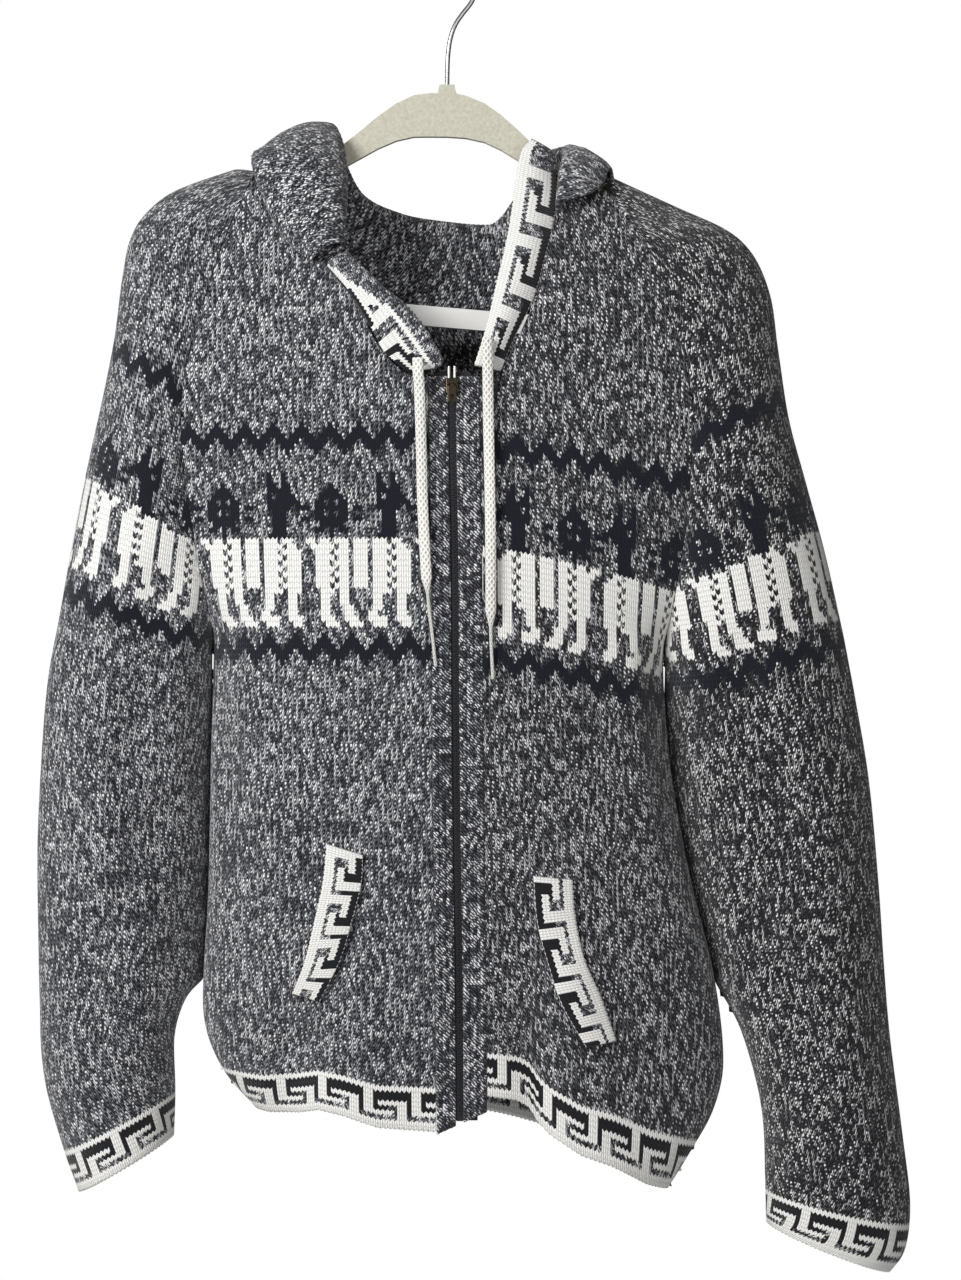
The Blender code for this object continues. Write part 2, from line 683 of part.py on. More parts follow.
def sleeve_sections(side):
    """Sections of a sleeve: outer x and drop, inner x and drop, half depth, seam depth."""
    table = RIGHT_SLEEVE if side < 0 else LEFT_SLEEVE
    seam_rows = [row for row in table if row[2] is None]
    tube_rows = [row for row in table if row[2] is not None]
    keys = np.array([row[3] for row in seam_rows])
    last_seam = seam_rows[-1][3]
    sections = []
    for middle_drop in front_rows(side):
        seam_drop = row_drop(middle_drop, 1.0, side)
        if seam_drop > last_seam:
            break
        outer_x = hermite(keys, np.array([row[0] for row in seam_rows]), seam_drop)
        outer_drop = hermite(keys, np.array([row[1] for row in seam_rows]), seam_drop)
        depth = hermite(keys, np.array([row[4] for row in seam_rows]), seam_drop)
        seam_x = smooth(side_table(side), 1, seam_drop)
        seam_depth = smooth(side_table(side), 2, seam_drop)
        sections.append((outer_x, outer_drop, seam_x, seam_drop, depth, seam_depth))
    underarm = seam_rows[-1]
    arm_x = smooth(side_table(side), 1, last_seam) + side * ARM_GAP
    lower = [(underarm[0], underarm[1], arm_x, last_seam, underarm[4])] + tube_rows
    for outer_x, outer_drop, inner_x, inner_drop, depth in sample_rows(lower, 17):
        beside = smooth(side_table(side), 1, inner_drop) + side * ARM_GAP
        inner_x = side * max(side * inner_x, side * beside)
        sections.append((outer_x, outer_drop, inner_x, inner_drop, depth, 0.0))
    return sections


def arm_setback(drop):
    """How far back a sleeve's inner edge lies at a drop."""
    start, full, hold, end = ARM_CONTACT
    rise = min(1.0, max(0.0, (drop - start) / (full - start)))
    fall = min(1.0, max(0.0, (end - drop) / (end - hold)))
    share = min(rise, fall)
    return ARM_SETBACK * share * share * (3 - 2 * share)


def sleeve_point(section, turn_share, side):
    """Point round a sleeve. turn_share runs from the front seam over to the back one."""
    outer_x, outer_drop, inner_x, inner_drop, depth, seam_depth = section
    reach = math.sqrt(max(0.0, 1 - (min(seam_depth, depth * 0.999) / depth) ** 2))
    end_angle = math.acos(-reach)
    angle = (1 - 2 * turn_share) * end_angle
    across = (1 - math.cos(angle)) / (1 + reach)
    x = outer_x + (inner_x - outer_x) * across
    drop = outer_drop + (inner_drop - outer_drop) * across
    swell = depth * math.sin(abs(angle))
    face = -1 if turn_share < 0.5 else 1
    folds = FRONT_FOLDS if face < 0 else BACK_FOLDS
    swell += fold_height(x, drop, folds) * math.sin(abs(angle)) * min(1.0, across * 5)
    back = arm_setback(inner_drop) * across ** 2 if seam_depth <= 0 else 0.0
    return Vector((x, face * max(0.0, swell) + back, -drop))


def make_sleeve(side, material):
    """Raglan sleeve: open along the body down to the underarm, then a tube."""
    name = "sleeve_right" if side < 0 else "sleeve_left"
    sections = sleeve_sections(side)
    grid = []
    for section in sections:
        trim = HALF_GAP / 120.0 if section[5] > 0 else 0.0
        shares = np.linspace(trim, 1 - trim, SLEEVE_ROUND + 1)
        row = [sleeve_point(section, share, side) for share in shares]
        if section[5] <= 0:
            row[0].y -= HALF_GAP
            row[-1].y += HALF_GAP
        grid.append(row)
    outer, _, normals = inner_grid(grid, WALL, False)
    centre = outer.mean(axis=1, keepdims=True)
    if np.einsum("ijk,ijk->ij", normals, outer - centre).mean() < 0:
        normals = -normals
    drops = [section[3] for section in sections]
    for column, face in ((0, -1), (SLEEVE_ROUND, 1)):
        direction = seam_direction(drops, side, face, False)
        normals = seam_steer(normals, column, direction)
    return wall_mesh(name, outer, outer - normals * WALL, False, material)


def strip_from_rows(name, rows_of_points, wall, material, outward):
    """A strip of cloth from rows of points on its outer face."""
    outer, _, normals = inner_grid(rows_of_points, wall, False)
    if np.einsum("ijk,k->ij", normals, np.array(outward)).mean() < 0:
        normals = -normals
    return wall_mesh(name, outer, outer - normals * wall, False, material)


def make_facing(side, material):
    """Ribbed strip beside the zip, its ribs raised in the outer face."""
    name = "zip_facing_right" if side < 0 else "zip_facing_left"
    width = FACING_RIGHT if side < 0 else FACING_LEFT
    offsets = np.linspace(CHAIN_WIDTH / 2 + 0.3, width - 0.02, RIB_COUNT * 3 + 1)
    grid = []
    for drop in np.linspace(ZIP_TOP + 4.0, ZIP_BOTTOM + 3.0, 22):
        row = []
        for k, offset in enumerate(offsets):
            x = smooth(MIDDLE, 1, drop) + side * offset
            point = cloth_point(x, drop, side, -1)
            rib = 0.0 if k % 3 == 0 else RIB_HEIGHT
            row.append(Vector((point.x, point.y - rib, point.z)))
        grid.append(row)
    outer = np.array([[tuple(p) for p in row] for row in grid])
    inner = outer.copy()
    for i, row in enumerate(inner):
        for point in row:
            x, drop = point[0], -point[2]
            point[1] = cloth_point(x, drop, side, -1).y + WALL
    return wall_mesh(name, outer, inner, False, material)


def make_chain(material):
    """Zip tape behind the strips, with the chain standing up between them."""
    half_tape = TAPE_WIDTH / 2
    half_chain = CHAIN_WIDTH / 2
    behind = WALL + 0.9
    profile = (
        (-half_tape, behind), (-half_chain, behind), (-half_chain, CHAIN_SINK),
        (half_chain, CHAIN_SINK), (half_chain, behind), (half_tape, behind),
    )
    outer = []
    inner = []
    for drop in np.linspace(ZIP_TOP, ZIP_BOTTOM, 22):
        outer_row = []
        inner_row = []
        middle_x = smooth(MIDDLE, 1, drop)
        for offset, back_off in profile:
            side = -1 if offset < 0 else 1
            point = cloth_point(middle_x + offset, drop, side, -1)
            outer_row.append((point.x, point.y + back_off, point.z))
            inner_row.append((point.x, point.y + behind + TAPE_WALL, point.z))
        outer.append(outer_row)
        inner.append(inner_row)
    return wall_mesh("zip_chain", np.array(outer), np.array(inner), False, material)


def make_welt(side, material):
    """Pocket welt lying on a front, made from the front's points moved out."""
    name = "pocket_welt_right" if side < 0 else "pocket_welt_left"
    table = RIGHT_WELT if side < 0 else LEFT_WELT
    grid = []
    for x0, d0, x1, d1 in sample_rows(table, 9):
        row = []
        for share in np.linspace(0, 1, 5):
            x = x0 + (x1 - x0) * share
            drop = d0 + (d1 - d0) * share
            point = cloth_point(x, drop, side, -1)
            puff = 1.0 * math.sin(math.pi * share)
            row.append(Vector((point.x, point.y - WALL - SEAM_GAP - 0.5 - puff, point.z)))
        grid.append(row)
    outer = np.array([[tuple(p) for p in row] for row in grid])
    inner = outer.copy()
    for row in inner:
        for point in row:
            point[1] = cloth_point(point[0], -point[2], side, -1).y - SEAM_GAP - 0.35
    return wall_mesh(name, outer, inner, False, material)


def make_left_casing(material):
    """Casing with the key pattern along the left side of the neck."""
    grid = []
    for values in sample_rows(LEFT_CASING, 17):
        seam_x, seam_drop, edge_x, edge_y, edge_drop, crown, lean = values
        seam_y = cloth_point(seam_x + 1.0, seam_drop, 1, -1).y
        seam_y += lean
        row = []
        for share in np.linspace(0, 1, 6):
            x = seam_x + (edge_x - seam_x) * share
            drop = seam_drop + (edge_drop - seam_drop) * share
            y = seam_y + (edge_y - seam_y) * share - crown * math.sin(math.pi * share)
            row.append(Vector((x - 0.2, y - 0.4, -drop)))
        grid.append(row)
    return strip_from_rows("hood_casing_left", grid, CASING_WALL, material, (-0.3, -1, 0))


def make_right_casing(material):
    """Casing on the right, its inner side rolled out over the edge."""
    grid = []
    for row_values in sample_rows(RIGHT_CASING, 13):
        seam_x, seam_drop, line_x, line_drop, roll_x, roll_y, roll_drop = row_values
        seam_y = cloth_point(seam_x - 1.0, seam_drop, -1, -1).y
        start_y = seam_y - RIGHT_CASING_LIFT
        line_y = start_y - RIGHT_CASING_RISE
        line = []
        for share in np.linspace(0, 1, 9):
            x = seam_x + (line_x - seam_x) * share + RIGHT_CASING_SHIFT
            drop = seam_drop + (line_drop - seam_drop) * share
            line.append(Vector((x, start_y + (line_y - start_y) * share, -drop)))
        for share in np.linspace(0, 1, 9)[1:]:
            x = line_x + (roll_x - line_x) * share + RIGHT_CASING_SHIFT
            drop = line_drop + (roll_drop - line_drop) * share
            crown = RIGHT_CASING_CROWN * math.sin(math.pi * share)
            line.append(Vector((x, line_y + (roll_y - line_y) * share - crown, -drop)))
        grid.append(part_of_line(line, 0.0, 0.0, 7))
    return strip_from_rows("hood_casing_right", grid, CASING_WALL, material, (0.3, -1, 0))


def hood_profiles():
    """Sections of the hood, each a dense line from the neck seam to the rim."""
    cells = [[value for cell in row for value in cell] for row in HOOD]
    profiles = []
    for values in sample_rows(cells, HOOD_STATIONS):
        points = [tuple(values[k:k + 3]) for k in range(0, len(values), 3)]
        profiles.append([Vector((x, y, -drop)) for x, y, drop in sample_rows(points, 80)])
    return profiles


def part_of_line(points, start, end, count):
    """Evenly spaced points between two lengths along a line; end counts from its end."""
    lengths = [0.0]
    for a, b in zip(points, points[1:]):
        lengths.append(lengths[-1] + (b - a).length)
    places = np.linspace(start, lengths[-1] - end, count)
    if start < 0:
        places = np.linspace(lengths[-1] + start, lengths[-1] - end, count)
    columns = [np.interp(places, lengths, [p[axis] for p in points]) for axis in range(3)]
    return [Vector(p) for p in zip(*columns)]


def hood_wall(name, grid, material, station):
    """Wall with the grid in its middle; station is a section that curls outward."""
    outer, _, normals = inner_grid(grid, WALL, False)
    outward = outer[station] - outer[station].mean(axis=0)
    if (normals[station] * outward).sum() < 0:
        normals = -normals
    half = normals * (WALL / 2)
    return wall_mesh(name, outer + half, outer - half, False, material)


def make_hood(marl, key):
    """Hood thrown back, over the ridge behind the neck, and the casing on its rim."""
    first, last = CASING_STATIONS
    grid = []
    casing = []
    for station, profile in enumerate(hood_profiles()):
        covered = first <= station <= last
        beside = first - 1 <= station <= last + 1
        end = CASING_WIDTH + SEAM_GAP if beside else 0.0
        grid.append(part_of_line(profile, 0.0, end, 16))
        if covered:
            casing.append(part_of_line(profile, -CASING_WIDTH, 0.0, 4))
    hood_wall("hood", grid, marl, HOOD_STATIONS // 2)
    return strip_from_rows("hood_casing_back", casing, WALL, key, (0, 1, 0.2))


def cord_centres(table, side, count):
    """Places along a drawstring, x and y and drop."""
    result = []
    for x, clear, drop in sample_rows(table, count):
        point = cloth_point(x, drop, side, -1)
        result.append((x, point.y - clear, drop))
    return result


def make_drawstring(side, material):
    name = "drawstring_right" if side < 0 else "drawstring_left"
    table = RIGHT_DRAWSTRING if side < 0 else LEFT_DRAWSTRING
    centres = cord_centres(table, side, 24)
    curve = bpy.data.curves.new(name, "CURVE")
    curve.dimensions = "3D"
    curve.bevel_depth = CORD_WIDTH / 2 * MM
    curve.bevel_resolution = 2
    curve.use_fill_caps = True
    spline = curve.splines.new("POLY")
    spline.points.add(len(centres) - 1)
    for point, (x, y, drop) in zip(spline.points, centres):
        point.co = (x * MM, y * MM, -drop * MM, 1.0)
    return add_object(name, curve, material)


def flat_outline(name, loops, depth, material):
    """Flat piece from closed outlines in x and drop, centred on the plane y = 0."""
    curve = bpy.data.curves.new(name, "CURVE")
    curve.dimensions = "2D"
    curve.fill_mode = "BOTH"
    curve.extrude = depth / 2 * MM
    for loop in loops:
        spline = curve.splines.new("POLY")
        spline.points.add(len(loop) - 1)
        for point, (x, drop) in zip(spline.points, loop):
            point.co = (x * MM, -drop * MM, 0.0, 1.0)
        spline.use_cyclic_u = True
    item = add_object(name, curve, material)
    item.rotation_euler = (math.radians(90), 0, 0)
    return item


def with_boss(outline, boss):
    """The outline with its points near the middle of the top replaced by the boss."""
    first = next(k for k, point in enumerate(outline) if point[0] > boss[0][0])
    after = next(k for k, point in enumerate(outline) if point[0] > boss[-1][0])
    return outline[:first] + boss + outline[after:]


def make_hanger(material):
    """Hanger: arched arms, and a bar across below them."""
    arm = sample_rows(HANGER_ARM, 29)
    top = [(x, drop - height / 2) for x, drop, height in arm]
    under = [(x, drop + height / 2) for x, drop, height in arm]
    (left_x, left_drop), (right_x, right_drop) = HANGER_BAR
    half = HANGER_BAR_HEIGHT / 2
    outer = top + [
        (200.0, 218.0), (200.0, 240.0), (194.0, 268.0), (right_x, right_drop + half),
        (left_x, left_drop + half), (-200.0, 232.0), (-209.0, 212.0), (-210.0, 196.0),
    ]
    hole = [
        (-186.0, 194.0), (-196.0, 200.0), (-199.0, 212.0), (-192.0, 227.0),
        (left_x + 4.0, left_drop - half), (right_x - 4.0, right_drop - half),
        (186.0, 258.0), (191.0, 238.0), (189.0, 222.0), (181.0, 213.0),
    ]
    inner_arm = [point for point in reversed(under) if -182.0 < point[0] < 176.0]
    boss = [(-7.0, 102.0), (-5.5, 95.5), (5.5, 95.5), (7.0, 102.2)]
    outer = with_boss(outer, boss)
    return flat_outline("hanger", [outer, hole + inner_arm], HANGER_DEPTH, material)


def make_hook(material):
    """Wire hook: up from the hanger's boss, then round over the rail."""
    points = list(HOOK_STEM)
    centre_drop = HOOK_RADIUS + HOOK_WIRE / 2
    for degrees in range(-36, 206, 14):
        angle = math.radians(degrees)
        points.append((HOOK_RADIUS * math.cos(angle),
                       centre_drop - HOOK_RADIUS * math.sin(angle)))
    curve = bpy.data.curves.new("hanger_hook", "CURVE")
    curve.dimensions = "3D"
    curve.bevel_depth = HOOK_WIRE / 2 * MM
    curve.bevel_resolution = 2
    curve.use_fill_caps = True
    spline = curve.splines.new("POLY")
    spline.points.add(len(points) - 1)
    for point, (x, drop) in zip(spline.points, points):
        point.co = (x * MM, 0.0, -drop * MM, 1.0)
    return add_object("hanger_hook", curve, material)


def solid_box(centre, size):
    """Mesh object of a box, left out of the model until it is joined to a piece."""
    mesh = bmesh.new()
    bmesh.ops.create_cube(mesh, size=1.0)
    for vert in mesh.verts:
        for axis in range(3):
            vert.co[axis] = (vert.co[axis] * size[axis] + centre[axis]) * MM
    return tool_object(mesh)


def solid_rod(centre, radius, length, sides=20):
    """Mesh object of a rod along X."""
    mesh = bmesh.new()
    bmesh.ops.create_cone(mesh, cap_ends=True, segments=sides, radius1=radius * MM,
                          radius2=radius * MM, depth=length * MM)
    for vert in mesh.verts:
        x, y, z = vert.co
        vert.co = (z + centre[0] * MM, x + centre[1] * MM, -y + centre[2] * MM)
    return tool_object(mesh)


def tool_object(mesh):
    data = bpy.data.meshes.new("tool")
    bmesh.ops.recalc_face_normals(mesh, faces=mesh.faces)
    mesh.to_mesh(data)
    mesh.free()
    item = bpy.data.objects.new("tool", data)
    item.hide_render = True
    item.display_type = "WIRE"
    TOOLS.objects.link(item)
    return item


def joined(name, base, steps, material, bevel):
    """A piece from a base box, joined with or cut by others in turn."""
    item = add_object(name, base.data.copy(), material)
    bpy.data.objects.remove(base, do_unlink=True)
    if bevel:
        rounded = item.modifiers.new("rounded", "BEVEL")
        rounded.width = bevel * MM
        rounded.segments = 2
    for operation, tool in steps:
        modifier = item.modifiers.new(operation.lower(), "BOOLEAN")
        modifier.operation = operation
        modifier.solver = "EXACT"
        modifier.object = tool
    return item


def slider_frame():
    """Middle of the zip at the slider: x, y of its back face, z."""
    x = smooth(MIDDLE, 1, SLIDER_DROP)
    low = SLIDER_DROP + SLIDER_SIZE[2] / 2
    return x, cloth_point(x, low, 1, -1).y - RIB_HEIGHT - 0.4, -SLIDER_DROP


def make_slider(material):
    """Slider: a plate in front of the chain, a neck into it, two ears and a pin."""
    x, back_y, z = slider_frame()
    depth = SLIDER_SIZE[1]
    pin_y = back_y - depth - PIN_STAND
    pin_z = z + PIN_RISE
    plate = solid_box((x, back_y - depth / 2, z), SLIDER_SIZE)
    chain_y = cloth_point(x, SLIDER_DROP + 4.0, 1, -1).y + CHAIN_SINK
    neck_depth = chain_y - SEAM_GAP - back_y + 1.0
    steps = [("UNION", solid_box((x, back_y - 1.0 + neck_depth / 2, z), (3.0, neck_depth, 8.0)))]
    ear_depth = PIN_STAND + 2.0
    for way in (-1, 1):
        ear_x = x + way * (KNUCKLE_LENGTH / 2 + 0.3 + EAR_WALL / 2)
        ear_y = back_y - depth + 1.0 - ear_depth / 2
        steps.append(("UNION", solid_box((ear_x, ear_y, pin_z), (EAR_WALL, ear_depth, 2.8))))
    pin_length = KNUCKLE_LENGTH + 0.6 + EAR_WALL
    steps.append(("UNION", solid_rod((x, pin_y, pin_z), PIN_RADIUS, pin_length)))
    return joined("zip_slider", plate, steps, material, 0.8)


def make_pull(material):
    """Pull tab: a knuckle round the slider's pin and a flat blade with a hole."""
    x, back_y, z = slider_frame()
    pin_y = back_y - SLIDER_SIZE[1] - PIN_STAND
    pin_z = z + PIN_RISE
    depth, length = PULL_SIZE[1:]
    blade_z = pin_z - length / 2 - PULL_NECK
    blade = solid_box((x, pin_y, blade_z), PULL_SIZE)
    steps = [
        ("UNION", solid_box((x, pin_y, pin_z - PULL_NECK), (2.8, depth, PULL_NECK * 1.5))),
        ("UNION", solid_rod((x, pin_y, pin_z), KNUCKLE_RADIUS, KNUCKLE_LENGTH)),
        ("DIFFERENCE", solid_rod((x, pin_y, pin_z), PIN_RADIUS + 0.3, 12.0)),
        ("DIFFERENCE", solid_box((x, pin_y, blade_z - length * 0.22), (2.6, 4.0, 4.2))),
    ]
    return joined("zip_pull", blade, steps, material, 0.5)


COLLECTION = bpy.data.collections.new("hooded_sweater")
TOOLS = bpy.data.collections.new("cutters")


def main():
    clear_scene()
    bpy.context.scene.collection.children.link(COLLECTION)
    bpy.context.scene.collection.children.link(TOOLS)
    materials = {name: make_material(name) for name in COLOURS}
    for side in (-1, 1):
        make_front(side, materials["marl"])
        make_sleeve(side, materials["marl"])
        make_facing(side, materials["marl"])
        make_welt(side, materials["key"])
        make_drawstring(side, materials["white"])
    make_back(materials["marl"])
    make_hood(materials["marl"], materials["key"])
    make_left_casing(materials["key"])
    make_right_casing(materials["key"])
    make_chain(materials["tape"])
    make_slider(materials["bronze"])
    make_pull(materials["bronze"])
    make_hanger(materials["flock"])
    make_hook(materials["steel"])


main()
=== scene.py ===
import bpy
import bmesh
import math
from functools import partial
import numpy as np
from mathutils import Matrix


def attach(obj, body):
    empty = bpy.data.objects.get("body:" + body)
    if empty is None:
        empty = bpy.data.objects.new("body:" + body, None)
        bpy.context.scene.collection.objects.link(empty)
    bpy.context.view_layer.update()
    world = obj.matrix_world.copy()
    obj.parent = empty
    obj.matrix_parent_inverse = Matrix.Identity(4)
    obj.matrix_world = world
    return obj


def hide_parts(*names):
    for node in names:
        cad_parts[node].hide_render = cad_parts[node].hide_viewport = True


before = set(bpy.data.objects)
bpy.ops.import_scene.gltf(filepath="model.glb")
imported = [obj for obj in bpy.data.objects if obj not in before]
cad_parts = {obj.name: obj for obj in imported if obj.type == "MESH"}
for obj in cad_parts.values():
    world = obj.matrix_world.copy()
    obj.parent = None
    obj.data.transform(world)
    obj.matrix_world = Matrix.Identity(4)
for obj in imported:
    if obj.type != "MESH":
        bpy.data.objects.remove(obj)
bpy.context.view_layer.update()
bpy.ops.object.select_all(action="DESELECT")
mm = 0.001

# tables of the cut, in millimetres, heights as drops below the hanging point
rightSide = (  # drop, x of the seam, half depth
    (157, -139, 12), (192, -155, 25), (254, -176, 37), (346, -195, 42), (437, -186, 36),
    (485, -178, 22), (515, -175, 0), (600, -177, 0), (700, -179, 0), (781, -183, 0),
    (811, -178, 0), (838, -164, 0), (860, -144, 0))
leftSide = (
    (168, 115, 12), (215, 144, 27), (250, 160, 37), (294, 171, 42), (346, 181, 42),
    (437, 175, 36), (490, 167, 22), (523, 162, 0), (602, 167, 0), (684, 181, 0),
    (763, 200, 0), (827, 207, 0), (864, 199, 0), (893, 183, 0), (922, 165, 0))
middleLine = (  # drop, x of the zip, half depth
    (157, 2, 14), (192, 2.5, 29), (234, 3, 42), (294, 4, 51), (361, 4.5, 56),
    (451, 6, 60), (600, 7, 60), (750, 9, 62), (871, 10, 58))
rowFall = (  # drop at the zip, fall of a row to the right side, to the left side
    (157, 0, 6), (300, 0, 19), (361, 0, 29), (450, 0, 35), (520, 0, 34), (700, -2, 36),
    (800, -6, 43), (872, -11, 50))
neckLine = (  # drop, x on the right front, x on the left front
    (162, -137, 112), (182, -131, 96), (208, -119, 79), (231, -97, 73), (254, -74, 67.5),
    (277, -60, 58.5), (302, -46, 46.5), (319, -28, 39))
backNeck = (  # x, drop
    (-141.2, 162), (-132.6, 186), (-118.6, 207.9), (-100.5, 227.8), (-77.9, 243.1),
    (-52.4, 255.2), (-24.9, 262.8), (3.5, 265.4), (28.5, 266), (53, 264.5), (75.9, 256.4),
    (96.6, 243.1), (112.6, 224.7), (120.3, 200.5))
rightSleeve = (  # outer x and drop, inner x and drop, half depth
    (-143, 154, None, 157, 13), (-202, 174, None, 177, 20), (-224, 190, None, 195, 27),
    (-237, 210, None, 222, 34), (-243, 238, None, 255, 40), (-249, 285, None, 308, 46),
    (-258, 331, None, 362, 49), (-268, 376, None, 412, 50), (-279, 430, None, 465, 49),
    (-290, 492, None, 515, 47), (-299, 541, -176, 556, 45), (-304, 601, -176, 610, 44),
    (-307, 676, -177, 672, 43), (-306, 751, -178, 727, 42), (-305, 790, -182.5, 762, 41.5),
    (-304.5, 811, -197, 781, 41),
    (-300, 848, -205, 815, 40), (-287, 893, -204, 850, 38), (-276, 924, -205, 883, 36))
leftSleeve = (
    (119, 163, None, 168, 13), (174, 188, None, 196, 21), (209, 204, None, 216, 28),
    (228, 221, None, 238, 34), (241, 249, None, 266, 40), (248, 294, None, 312, 46),
    (256, 346, None, 364, 49), (268, 391, None, 412, 50), (283, 446, None, 468, 49),
    (297, 508, None, 523, 47), (306, 556, 164, 566, 45), (316, 616, 168, 626, 44),
    (323, 690, 180, 698, 43), (327.5, 757, 197, 757, 42), (332, 810, 221, 806, 41),
    (341, 880, 236.5, 868, 40), (347, 935, 238.5, 913, 38), (343, 968, 239, 938, 36),
    (332, 984, 239.5, 948, 35))
frontFolds = (  # x, drop, x, drop, half width, height
    (160, 535, 168, 620, 14, -9), (140, 520, 150, 640, 16, 5), (-172, 520, -160, 640, 16, -6),
    (-150, 560, -120, 760, 30, 4), (-210, 470, -235, 600, 18, -6), (-262, 600, -230, 760, 22, 5),
    (-215, 640, -262, 760, 14, -4), (215, 520, 250, 660, 20, -6), (270, 640, 300, 840, 24, 5),
    (225, 700, 272, 820, 14, -4), (90, 760, 120, 900, 26, 5), (60, 800, 66, 872, 15, -6),
    (-60, 780, -70, 880, 30, 5), (-110, 800, -118, 872, 16, -6))
backFolds = (
    (-150, 520, -60, 660, 26, -7), (140, 530, 60, 680, 26, -7), (-90, 620, -84, 870, 30, 6),
    (20, 560, 12, 875, 32, -6), (105, 650, 120, 890, 28, 6), (-235, 480, -262, 700, 22, -6),
    (230, 520, 285, 760, 24, -6))
hoodRows = (  # x, y, drop: neck seam, ridge, outer turn, fall, bottom, back, rim
    ((84, -30, 196), (82, -34, 192), (85, -36, 189), (91, -36, 187),
     (98, -35, 185), (104, -33, 183), (108, -31, 181)),
    ((89, -24, 184), (85, -22, 168), (89, -24, 160), (96, -27, 160),
     (104, -29, 163), (111, -28, 168), (116, -26, 173)),
    ((104, -8, 167), (88, -8, 151), (92, -8, 145), (100, -10, 146),
     (109, -12, 151), (117, -14, 157), (121, -15, 162)),
    ((108, 4, 162), (87, 5, 147), (92, 10, 141), (105, 14, 147),
     (120, 20, 162), (125, 25, 172), (124, 29, 166)),
    ((108, 34.3, 225.5), (66, 20, 151), (80, 28, 147), (105, 38, 178),
     (124, 47, 236), (122, 57, 212), (104, 52, 160)),
    ((78, 42.6, 251.6), (48, 40, 182), (60, 50, 179), (88, 61, 250),
     (100, 71, 342), (98, 86, 292), (78, 80, 206)),
    ((40, 45.8, 264.3), (30, 51, 194), (34, 61, 194), (48, 73, 310),
     (54, 81, 418), (52, 99, 350), (44, 90, 232)),
    ((-2, 46, 264.2), (-2, 53, 192), (-2, 63, 191), (-2, 76, 325),
     (-2, 84, 440), (-2, 102, 366), (-2, 93, 240)),
    ((-50, 43.6, 254.2), (-36, 48, 187), (-42, 58, 185), (-56, 72, 305),
     (-62, 81, 415), (-60, 98, 346), (-54, 89, 226)),
    ((-98, 36.4, 225.8), (-66, 36, 174), (-76, 46, 170), (-102, 60, 240),
     (-112, 71, 335), (-110, 85, 285), (-92, 78, 196)),
    ((-128, 23, 186), (-82, 18, 140), (-96, 25, 136), (-120, 38, 168),
     (-140, 49, 230), (-138, 58, 208), (-120, 50, 152)),
    ((-131, 0, 151), (-84, 0, 129), (-102, 3, 125), (-124, 6, 133),
     (-141, 8, 146), (-145, 12, 146), (-141, 14, 139)),
    ((-118, -22, 186), (-78, -16, 148), (-92, -24, 140), (-116, -33, 148),
     (-136, -38, 161), (-140, -37, 167), (-137, -34, 172)),
    ((-104, -34, 206), (-75, -33, 184), (-80, -41, 178), (-97, -46, 183),
     (-116, -42, 198), (-122, -37, 208), (-120, -35.5, 213)),
    ((-86, -41, 229), (-78, -43, 225), (-76, -47, 221), (-83, -48, 221),
     (-92, -45.5, 226), (-98, -42.5, 231), (-99, -41.5, 234)))
leftCasing = (  # seam x and drop, free edge x, y and drop, crown, lean of the seam
    (40, 315.5, 20.5, -58, 311, 2, 0), (49, 293, 29, -55, 283, 4, 0),
    (64.5, 260, 36.5, -49, 250, 5, 0), (72.5, 231, 43, -41, 222, 5, 0),
    (79, 204, 47.5, -32, 196, 5, 0), (83, 176, 51.5, -21, 166, 5, 2),
    (82, 156, 55.5, -14, 147, 5, 3), (80, 147, 63, -11, 137.5, 3, 3))
rightCasing = (  # seam x and drop, edge line x and drop, rolled edge x, y and drop
    (-28, 316, -6.5, 313, -1.5, -58, 308), (-38, 308.5, -14, 299, -8.5, -58, 295),
    (-46.5, 300, -24, 284, -18.5, -57, 279), (-54.5, 285.5, -38, 271, -31, -54, 265),
    (-63.5, 269, -53, 261, -45, -51, 253.5), (-74, 253, -69, 249.5, -59, -48, 240),
    (-88, 237, -87, 233, -73, -45, 226))
rightWelt = (  # opening edge x and drop, sewn edge x and drop
    (-87.4, 660, -60.4, 668), (-90.2, 688, -61.8, 690), (-96, 715, -68.5, 716),
    (-103.5, 746, -76.5, 743), (-112.4, 769, -92.2, 775))
leftWelt = (
    (92.4, 686, 63.3, 683), (94.5, 713, 66, 716), (101, 743, 73.8, 746), (112.5, 769.5, 84, 776),
    (124.4, 803.3, 101.9, 807.6))
rightCord = (  # x, clearance in front of the cloth, drop
    (-20.5, 13, 306.5), (-20.3, 13, 316), (-19.2, 9.5, 332), (-18, 6, 372), (-17, 5.7, 412),
    (-15, 5.7, 452), (-13, 5.7, 482), (-10, 5.7, 508), (-7.5, 5.7, 531))
leftCord = (
    (30, 11.3, 292), (30.2, 10.9, 302), (30.4, 9, 322), (31, 6, 362), (32, 5.7, 412),
    (32.5, 5.7, 462), (32.5, 5.7, 502), (34, 5.7, 540))

knit = {"wale": 3.5, "course": 4.05, "wall": 0.0026, "power": 2.3, "zipTop": 315,
        "hemDrop": 871, "gap": 0.35, "seam": 0.17, "hemCourse": 3.6, "hemRows": 8, "smallestFace": 2e-8,
        "weld": 0.00008}
halfWale = knit["wale"] / 2
sideWord = {-1: "right", 1: "left"}
sideTables = {-1: rightSide, 1: leftSide}


